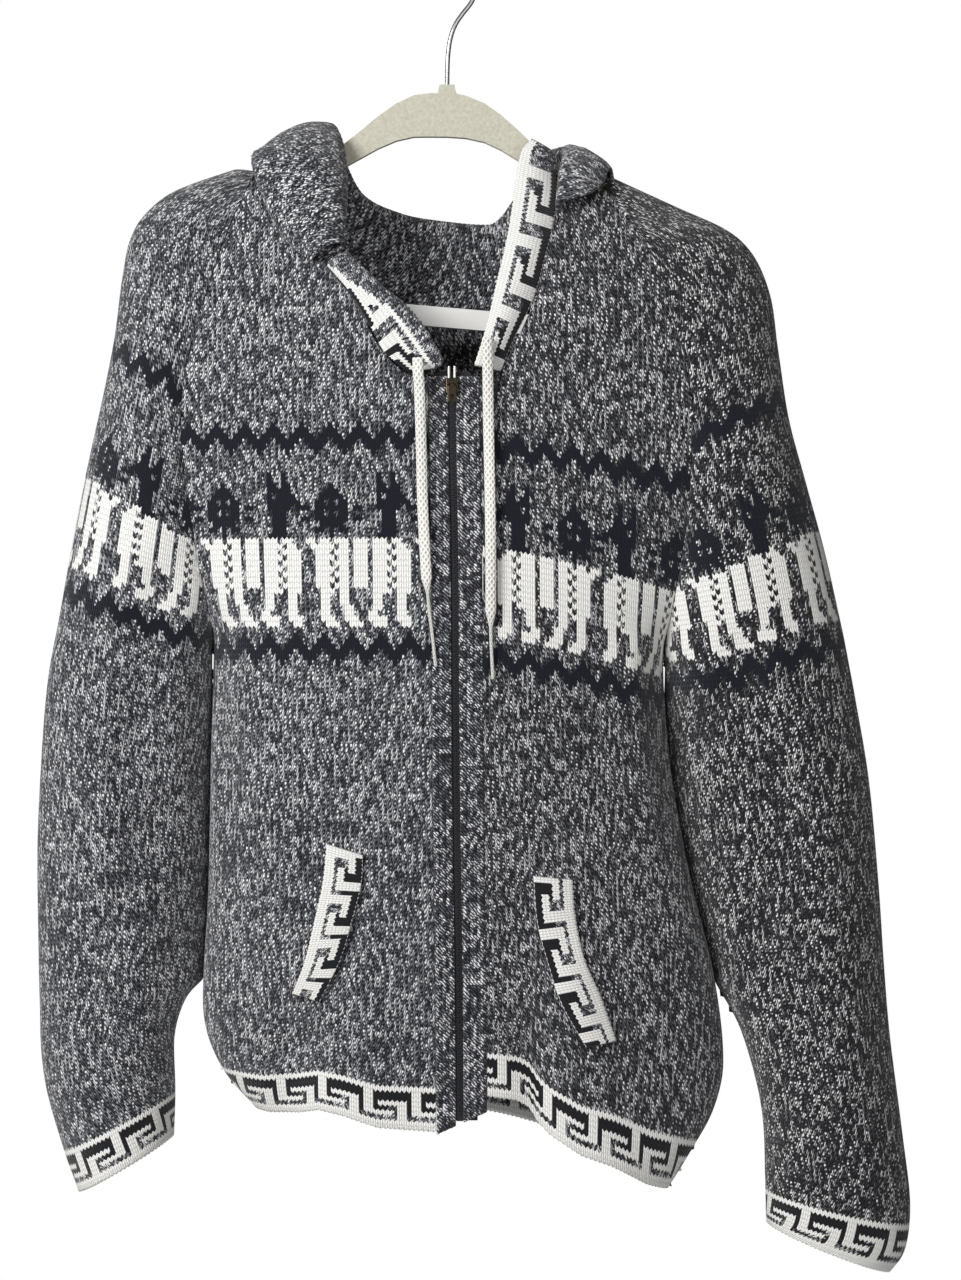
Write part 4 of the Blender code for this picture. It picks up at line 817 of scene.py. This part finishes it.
def rightCasingPoint(along, across):
    seamX, seamDrop, lineX, lineDrop, rollX, rollY, rollDrop = cutAt(rightCasing, along)
    seamY = float(clothY(seamX - 1, seamDrop, -1))
    lineShare = 0.68
    if across < lineShare:
        t = across / lineShare
        x, drop = seamX + (lineX - seamX) * t, seamDrop + (lineDrop - seamDrop) * t
        return x + 0.4, seamY - 1.5 - 3 * t, -drop
    t = (across - lineShare) / (1 - lineShare)
    y = seamY - 4.5 + (rollY - seamY + 4.5) * t - 2 * math.sin(math.pi * t)
    return (lineX + (rollX - lineX) * t + 0.4, y, -(lineDrop + (rollDrop - lineDrop) * t))


casingProfiles = hoodProfiles(np.linspace(*hood["casing"], hood["casingSteps"] + 1))


def backCasingPoint(along, across):
    place = along * hood["casingSteps"]
    low = min(int(place), hood["casingSteps"] - 1)
    found = []
    for points, steps in casingProfiles[low:low + 2]:
        at = steps[-1] - hood["casingWidth"] * (1 - across)
        found.append(pointsAt(at, steps, points))
    return tuple(found[0] + (found[1] - found[0]) * (place - low))


# flat sizes are one face of the doubled strips; the right one tapers to a mean width of 27
leftStrip = {"along": 54, "rows": 11, "phase": 3, "endWales": 5, "inside": (60, 40, -230),
             "flatWidth": 36, "flatLength": 180, "wall": 0.0045, "restsOn": ["front_left_knit"],
             "replaces": ["hood_casing_left"]}
rightStrip = {"along": 34, "rows": 9, "phase": 2, "keyRow": 2.7, "inside": (-60, 40, -280),
              "flatWidth": 35, "flatLength": 110, "flatArea": 110 * 27, "wall": 0.0045,
              "restsOn": ["front_right_knit"], "replaces": ["hood_casing_right"]}
backStrip = {"along": 74, "rows": 11, "phase": 57, "inside": (0, 60, -300), "flatWidth": 30,
             "flatLength": 259, "restsOn": ["hood_knit"], "replaces": ["hood_casing_back"]}


def leftCasingYarn(wale, row):
    # the top end turns over and shows the plain side
    if wale >= leftStrip["along"] - leftStrip["endWales"] and 2 <= row < 10:
        return 0.0
    return keyYarn(casingChart, wale + leftStrip["phase"], row)


def rightCasingYarn(wale, row):
    # the pattern runs from the seam to the white line, and plain knit rolls in beyond it
    share = (wale + 0.5) / rightStrip["along"]
    seamX, seamDrop, lineX, lineDrop, rollX, rollY, rollDrop = cutAt(rightCasing, share)
    toLine = math.hypot(lineX - seamX, lineDrop - seamDrop)
    whole = toLine + math.hypot(rollX - lineX, rollDrop - lineDrop)
    fromSeam = (1 - (max(0, row) + 0.5) / rightStrip["rows"]) * whole
    if fromSeam > toLine + 1:
        return 0.0
    if fromSeam > toLine - 4.5:
        return 1.0
    line = casingChart[min(1 + int(fromSeam / rightStrip["keyRow"]), 8)]
    return yarnCode[line[(wale + rightStrip["phase"]) % len(line)]]


keyStrip("hood_casing_left_knit", leftCasingPoint, leftStrip, leftCasingYarn)
keyStrip("hood_casing_right_knit", rightCasingPoint, rightStrip, rightCasingYarn)
keyStrip("hood_casing_back_knit", backCasingPoint, backStrip,
         lambda wale, row: keyYarn(casingChart, wale + backStrip["phase"], row))


def weltPoint(table, side):
    def at(along, across):
        x0, d0, x1, d1 = cutAt(table, along)
        x, drop = x1 + (x0 - x1) * across, d1 + (d0 - d1) * across
        return x, float(clothY(x, drop, side)) - 3.8 - math.sin(math.pi * across), -drop
    return at


def weltYarn(wale, row):
    # wale counts downwards on the right welt and upwards on the left one
    return yarnCode[weltChart[min(max(10 - row, 0), 10)][wale % 10]]


keyStrip("pocket_welt_right_knit", weltPoint(rightWelt, -1), {
    "along": 34, "rows": 11, "inside": (-90, 0, -720), "flatWidth": 29, "flatLength": 112,
    "restsOn": ["front_right_knit"], "replaces": ["pocket_welt_right"]},
    lambda wale, row: 1.0 if wale == 0 else weltYarn(wale, row))
keyStrip("pocket_welt_left_knit", weltPoint(leftWelt, 1), {
    "along": 32, "rows": 11, "inside": (90, 0, -750), "flatWidth": 29, "flatLength": 125,
    "restsOn": ["front_left_knit"], "replaces": ["pocket_welt_left"]},
    lambda wale, row: weltYarn(17 - wale, row))

# ribbed strips along the zip, knitted sideways
strip = {"ribs": 3, "ribHeight": 1.3, "width": {-1: 17, 1: 20}, "chain": 5, "rows": 140, "columns": 36,
         "bottom": 864, "bottomSlope": 0.45, "wall": 0.0024, "ribShare": 1.05, "length": 0.545}
ribKnit = knitMaterial("rib_knit", 5.0, dict(knitLook, darkest=(14, 15, 19), dark=(37, 38, 44),
                                             middle=(71, 72, 79), light=(114, 115, 121),
                                             lightest=(162, 163, 168)))
for side in (-1, 1):
    width = strip["width"][side]
    offsets = np.linspace(strip["chain"] / 2 + 0.3, width - 0.02, strip["columns"] + 1)
    share = np.linspace(0, 1, strip["rows"] + 1)
    piece = added(bpy.ops.mesh.primitive_grid_add, f"zip_facing_{sideWord[side]}_knit",
                  x_subdivisions=strip["columns"], y_subdivisions=strip["rows"], size=0.1)
    data = piece.data
    across, down = np.meshgrid(offsets, share)
    # the lower end rises towards the wearer's left
    bottom = strip["bottom"] - strip["bottomSlope"] * side * across
    down = knit["zipTop"] + 4 + (bottom - knit["zipTop"] - 4) * down
    x = tableAt(middleLine, 1, down.ravel()) + side * across.ravel()
    y = clothY(x, down.ravel(), side)
    turn = (across.ravel() - offsets[0]) / (offsets[-1] - offsets[0]) * strip["ribs"]
    y = y - strip["ribHeight"] * np.abs(np.sin(math.pi * turn)) ** 0.6
    points = np.stack([x, y, -down.ravel()], axis=1) * mm
    if side < 0:
        points = points.reshape(strip["rows"] + 1, strip["columns"] + 1, 3)[:, ::-1].reshape(-1, 3)
    data.vertices.foreach_set("co", points.ravel())
    while data.uv_layers:
        data.uv_layers.remove(data.uv_layers[0])
    uvMap = data.uv_layers.new(name="stitch")
    corners = np.empty(len(data.loops), int)
    data.loops.foreach_get("vertex_index", corners)
    flatX, flatZ = points[corners, 0] * 1000, points[corners, 2] * 1000
    uvMap.data.foreach_set("uv", np.stack([flatX / 2.5, flatZ / 3.0], axis=1).ravel())
    data.update()
    inEditMode(facesOutward)
    if sum(f.normal.y for f in data.polygons) > 0:
        inEditMode(bpy.ops.mesh.flip_normals)
    data.shade_smooth()
    onlyMaterial(data, ribKnit)
    wall = piece.modifiers.new("wall", "SOLIDIFY")
    wall.thickness = strip["wall"]
    wall.offset = -1
    declare(piece, "rib_knit", f"zip_facing_{sideWord[side]}")
print("made the ribbed strips")

# zip: black tape with a raised row of small teeth
zipper = {"pitch": 1.9, "toothWidth": 2.3, "toothHeight": 0.85, "stagger": 0.55, "sink": 0.5,
          "bottom": 862}
tapeMaterial, tree, shader = newMaterial("zip_tape", 0.75)
coordinates = node(tree, "ShaderNodeTexCoord")
weave = node(tree, "ShaderNodeTexWave", bands_direction="Z")
weave.inputs["Scale"].default_value = 500.0
weave.inputs["Distortion"].default_value = 1.0
tree.links.new(coordinates.outputs["Object"], weave.inputs["Vector"])
paint(tree, shader, weave.outputs["Fac"], (18, 19, 23), (34, 35, 41))
bumpFrom(tree, shader, weave.outputs["Fac"], 0.4, 0.0002)
onlyMaterial(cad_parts["zip_chain"].data, tapeMaterial)


def metalMaterial(name, colour, worn, roughness):
    material, tree, shader = newMaterial(name, roughness)
    paint(tree, shader, objectNoise(tree, 900.0, 3.0), colour, worn)
    shader.inputs["Metallic"].default_value = 0.9
    return material


bronze = metalMaterial("zip_metal", (46, 40, 33), (92, 80, 64), 0.38)
brightMetal = metalMaterial("zip_stop_metal", (205, 202, 192), (240, 238, 230), 0.3)
steel = metalMaterial("hook_wire", (150, 150, 150), (188, 188, 188), 0.22)
for name in ("zip_slider", "zip_pull"):
    onlyMaterial(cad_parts[name].data, bronze)

toothMaterial, tree, shader = newMaterial("zip_teeth", 0.45)
paint(tree, shader, objectNoise(tree, 700.0), (20, 20, 24), (64, 64, 70))
shader.inputs["Metallic"].default_value = 0.3

tooth = added(bpy.ops.mesh.primitive_cube_add, "zip_tooth_pattern", size=1)
bpy.ops.object.mode_set(mode="EDIT")
bpy.ops.transform.resize(value=(zipper["toothWidth"] * mm, 0.0012, zipper["toothHeight"] * mm))
bpy.ops.mesh.bevel(offset=0.0002, segments=1)
bpy.ops.object.mode_set(mode="OBJECT")
base = np.array([tuple(v.co) for v in tooth.data.vertices])
baseFaces = [tuple(f.vertices) for f in tooth.data.polygons]
allPoints, allFaces = [], []
drop = knit["zipTop"] + 22.0
k = 0
while drop < zipper["bottom"] - 4:
    x = float(tableAt(middleLine, 1, drop))
    y = float(clothY(x, drop, 1)) + zipper["sink"]
    x += zipper["stagger"] if k % 2 else -zipper["stagger"]
    shift = np.array([x * mm, y * mm, -drop * mm])
    allFaces += [tuple(v + len(base) * k for v in f) for f in baseFaces]
    allPoints.append(base + shift)
    drop += zipper["pitch"]
    k += 1
teeth = bpy.data.meshes.new("zip_teeth")
teeth.from_pydata(np.concatenate(allPoints).tolist(), [], allFaces)
teeth.materials.append(toothMaterial)
teethPiece = bpy.data.objects.new("zip_teeth", teeth)
bpy.context.scene.collection.objects.link(teethPiece)
bpy.data.objects.remove(tooth, do_unlink=True)
declare(teethPiece, "zip_tape")
print("made the zip,", k, "teeth")

# two bright stops on the ends of the chain above the slider
stop = {"size": (1.5, 1.6, 9.0), "apart": 4.2, "drop": 316.0}
for side in (-1, 1):
    piece = added(bpy.ops.mesh.primitive_cube_add, f"zip_stop_{sideWord[side]}", size=1)
    x = float(tableAt(middleLine, 1, stop["drop"])) + side * stop["apart"] / 2
    y = float(clothY(x, stop["drop"] + 5, 1)) - 0.6
    bpy.ops.object.mode_set(mode="EDIT")
    bpy.ops.transform.resize(value=tuple(v * mm for v in stop["size"]))
    bpy.ops.mesh.bevel(offset=0.0004, segments=2)
    bpy.ops.transform.translate(value=(x * mm, y * mm, -stop["drop"] * mm))
    bpy.ops.object.mode_set(mode="OBJECT")
    piece.data.materials.append(brightMetal)
    declare(piece, "zip_metal")

# drawstrings: flat off-white braid with a thin tail
# the lengths are measured along each string in the photo
cord = {"width": 8.0, "thick": 2.6, "tailWidth": 2.4, "tailThick": 1.6, "layBack": 2.2,
        "tailShare": {-1: 0.71, 1: 0.80}, "rings": 120, "round": 16, "length": {-1: 220, 1: 243}}
cordMaterial, tree, shader = newMaterial("white_cord", 0.85)
calc = partial(mathNode, tree)
around, along = uvParts(tree, "braid")
ways = [calc("SINE", calc("MULTIPLY", calc(kind, around, along), 2 * math.pi))
        for kind in ("ADD", "SUBTRACT")]
braid = calc("MAXIMUM", *ways)
# painted shade: the grooves between the braid's strands are darker than its crests
crestLitGrooveShaded = calc("MULTIPLY_ADD", braid, 0.5, 0.5, clamp=True)
paint(tree, shader, crestLitGrooveShaded, (196, 192, 180), (252, 250, 246))
bumpFrom(tree, shader, braid, 0.8, 0.0005)
shader.inputs["Sheen Weight"].default_value = 0.2

for side, table in ((-1, rightCord), (1, leftCord)):
    places = np.linspace(0, len(table) - 1, cord["rings"])
    route = sampleRows(table, places)
    x, ahead, drop = route.T
    centre = np.stack([x, clothY(x, drop, side) - ahead, -drop], axis=1)
    steps = runAlong(centre)
    share = steps / steps[-1]
    narrow = np.clip((share - cord["tailShare"][side]) / 0.05, 0, 1)
    width = cord["width"] + (cord["tailWidth"] - cord["width"]) * narrow
    thick = cord["thick"] + (cord["tailThick"] - cord["thick"]) * narrow
    # a thin tail lies back against the cloth
    centre[:, 1] += narrow * cord["layBack"]
    tangent = np.gradient(centre, axis=0)
    tangent /= np.linalg.norm(tangent, axis=1, keepdims=True)
    twist = 0.25 * np.sin(share * 9 + side)
    wide = np.stack([np.cos(twist), np.sin(twist) * 0.6, np.zeros_like(twist)], axis=1)
    wide -= tangent * (wide * tangent).sum(axis=1, keepdims=True)
    wide /= np.linalg.norm(wide, axis=1, keepdims=True)
    deep = np.cross(tangent, wide)
    turns = np.arange(cord["round"]) * 2 * math.pi / cord["round"]
    acrossWide, acrossDeep = np.outer(width / 2, np.cos(turns)), np.outer(thick / 2, np.sin(turns))
    rings = (centre[:, None] + wide[:, None] * acrossWide[:, :, None]
             + deep[:, None] * acrossDeep[:, :, None])
    around = cord["round"]
    vertices = rings.reshape(-1, 3) * mm
    faces = [(i + j, i + (j + 1) % around, i + around + (j + 1) % around, i + around + j)
             for i in range(0, (cord["rings"] - 1) * around, around) for j in range(around)]
    faces += [tuple(range(around - 1, -1, -1)), tuple(range(len(vertices) - around, len(vertices)))]
    data = bpy.data.meshes.new("drawstring")
    data.from_pydata(vertices.tolist(), [], faces)
    uvMap = data.uv_layers.new(name="braid")
    for face in data.polygons:
        for loop, vertex in zip(face.loop_indices, face.vertices):
            ring, turn = divmod(vertex, around)
            pastSeam = turn == 0 and max(v % around for v in face.vertices) == around - 1
            wrapped = 1.0 if pastSeam else turn / around
            uvMap.data[loop].uv = (wrapped * 6, steps[ring] / 5.0)
    data.materials.append(cordMaterial)
    piece = bpy.data.objects.new(f"drawstring_{sideWord[side]}_braid", data)
    bpy.context.scene.collection.objects.link(piece)
    mesh = bmesh.new()
    mesh.from_mesh(data)
    bmesh.ops.recalc_face_normals(mesh, faces=mesh.faces)
    mesh.to_mesh(data)
    mesh.free()
    data.shade_smooth()
    declare(piece, "white_cord", f"drawstring_{sideWord[side]}")
    print("made a drawstring of", cord["length"][side], "mm, its path is", round(float(steps[-1]), 1))

# hanger: flocked board with a pale lower bar, and its wire hook
flock, tree, shader = newMaterial("flocked_board", 1.0)
coordinates = node(tree, "ShaderNodeTexCoord")
fine = objectNoise(tree, 420.0, 5.0)
speckle = mixColour(tree, fine, srgb(166, 162, 144), srgb(222, 219, 205))
patches = mathNode(tree, "MULTIPLY", objectNoise(tree, 18.0), 0.25)
speckle = mixColour(tree, patches, speckle, srgb(200, 190, 172))
split = node(tree, "ShaderNodeSeparateXYZ")
tree.links.new(coordinates.outputs["Object"], split.inputs[0])
tilted = mathNode(tree, "MULTIPLY_ADD", split.outputs[0], 0.0965, split.outputs[2])
lowerBar = mathNode(tree, "LESS_THAN", tilted, -0.228)
tree.links.new(mixColour(tree, lowerBar, speckle, srgb(244, 243, 240)), shader.inputs["Base Color"])
bumpFrom(tree, shader, fine, 0.5, 0.0003)
shader.inputs["Sheen Weight"].default_value = 0.5
onlyMaterial(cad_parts["hanger"].data, flock)

hook = {"wire": 3.4, "radius": 21.0,
        "stem": ((0, 95.2), (0.2, 84), (0.8, 72), (2.6, 60), (6.2, 50), (11.5, 42))}
line = [tuple(p) for p in hook["stem"]]
for degrees in range(-36, 206, 7):
    angle = math.radians(degrees)
    line.append((hook["radius"] * math.cos(angle),
                 hook["radius"] + hook["wire"] / 2 - hook["radius"] * math.sin(angle)))
wire = added(bpy.ops.curve.primitive_nurbs_path_add, "hanger_hook_wire")
wire.data.splines.clear()
spline = wire.data.splines.new("BEZIER")
spline.bezier_points.add(len(line) - 1)
for point, (x, drop) in zip(spline.bezier_points, line):
    point.co = (x * mm, 0, -drop * mm)
    point.handle_left_type = point.handle_right_type = "AUTO"
wire.data.bevel_depth = hook["wire"] / 2 * mm
wire.data.bevel_resolution = 5
wire.data.use_fill_caps = True
wire.data.resolution_u = 4
bpy.ops.object.convert(target="MESH")
wire = bpy.context.object
wire.data.shade_smooth()
onlyMaterial(wire.data, steel)
declare(wire, "hook_wire", "hanger_hook")
print("made the hook")

# floor, camera and soft studio light
studio = {"floorDrop": 1.75, "floorSize": 6.0, "key": 56.0, "fill": 12.0, "neck": 0.7, "world": 1.15,
          "camera": (0.025, -2.0, -0.5115), "sensor": 24, "lens": 50}
floor = added(bpy.ops.mesh.primitive_plane_add, "studio_floor", size=studio["floorSize"],
              location=(0, 0, -studio["floorDrop"]))
floorMaterial, tree, shader = newMaterial("studio_floor", 0.8)
paint(tree, shader, objectNoise(tree, 3.0), (244, 244, 244), (250, 250, 250))
floor.data.materials.append(floorMaterial)

bpy.ops.object.camera_add(location=studio["camera"], rotation=(math.radians(90), 0, 0))
camera = bpy.context.object
camera.data.sensor_width = studio["sensor"]
camera.data.lens = studio["lens"]
bpy.context.scene.camera = camera


def areaLight(name, location, target, size, power):
    light = added(bpy.ops.object.light_add, name, type="AREA", location=location)
    light.data.size = size
    light.data.energy = power
    toward = np.array(target) - np.array(location)
    light.rotation_euler = (math.acos(-toward[2] / np.linalg.norm(toward)), 0,
                            math.atan2(toward[0], -toward[1]) + math.pi)


areaLight("key_light", (-1.5, -1.7, 0.35), (0, 0, -0.5), 1.1, studio["key"])
areaLight("fill_light", (1.2, -2.2, -0.3), (0, 0, -0.5), 1.6, studio["fill"])
areaLight("neck_light", (-0.05, -0.75, 0.05), (0, 0.05, -0.25), 0.3, studio["neck"])
world = bpy.data.worlds.new("studio")
bpy.context.scene.world = world
world.use_nodes = True
tree = world.node_tree
background = tree.nodes["Background"]
background.inputs["Strength"].default_value = studio["world"]
seen = node(tree, "ShaderNodeBackground")
seen.inputs["Color"].default_value = (1, 1, 1, 1)
rays = node(tree, "ShaderNodeLightPath")
choice = node(tree, "ShaderNodeMixShader")
tree.links.new(rays.outputs["Is Camera Ray"], choice.inputs[0])
tree.links.new(background.outputs[0], choice.inputs[1])
tree.links.new(seen.outputs[0], choice.inputs[2])
tree.links.new(choice.outputs[0], tree.nodes["World Output"].inputs["Surface"])
bpy.context.scene.view_settings.view_transform = "Standard"
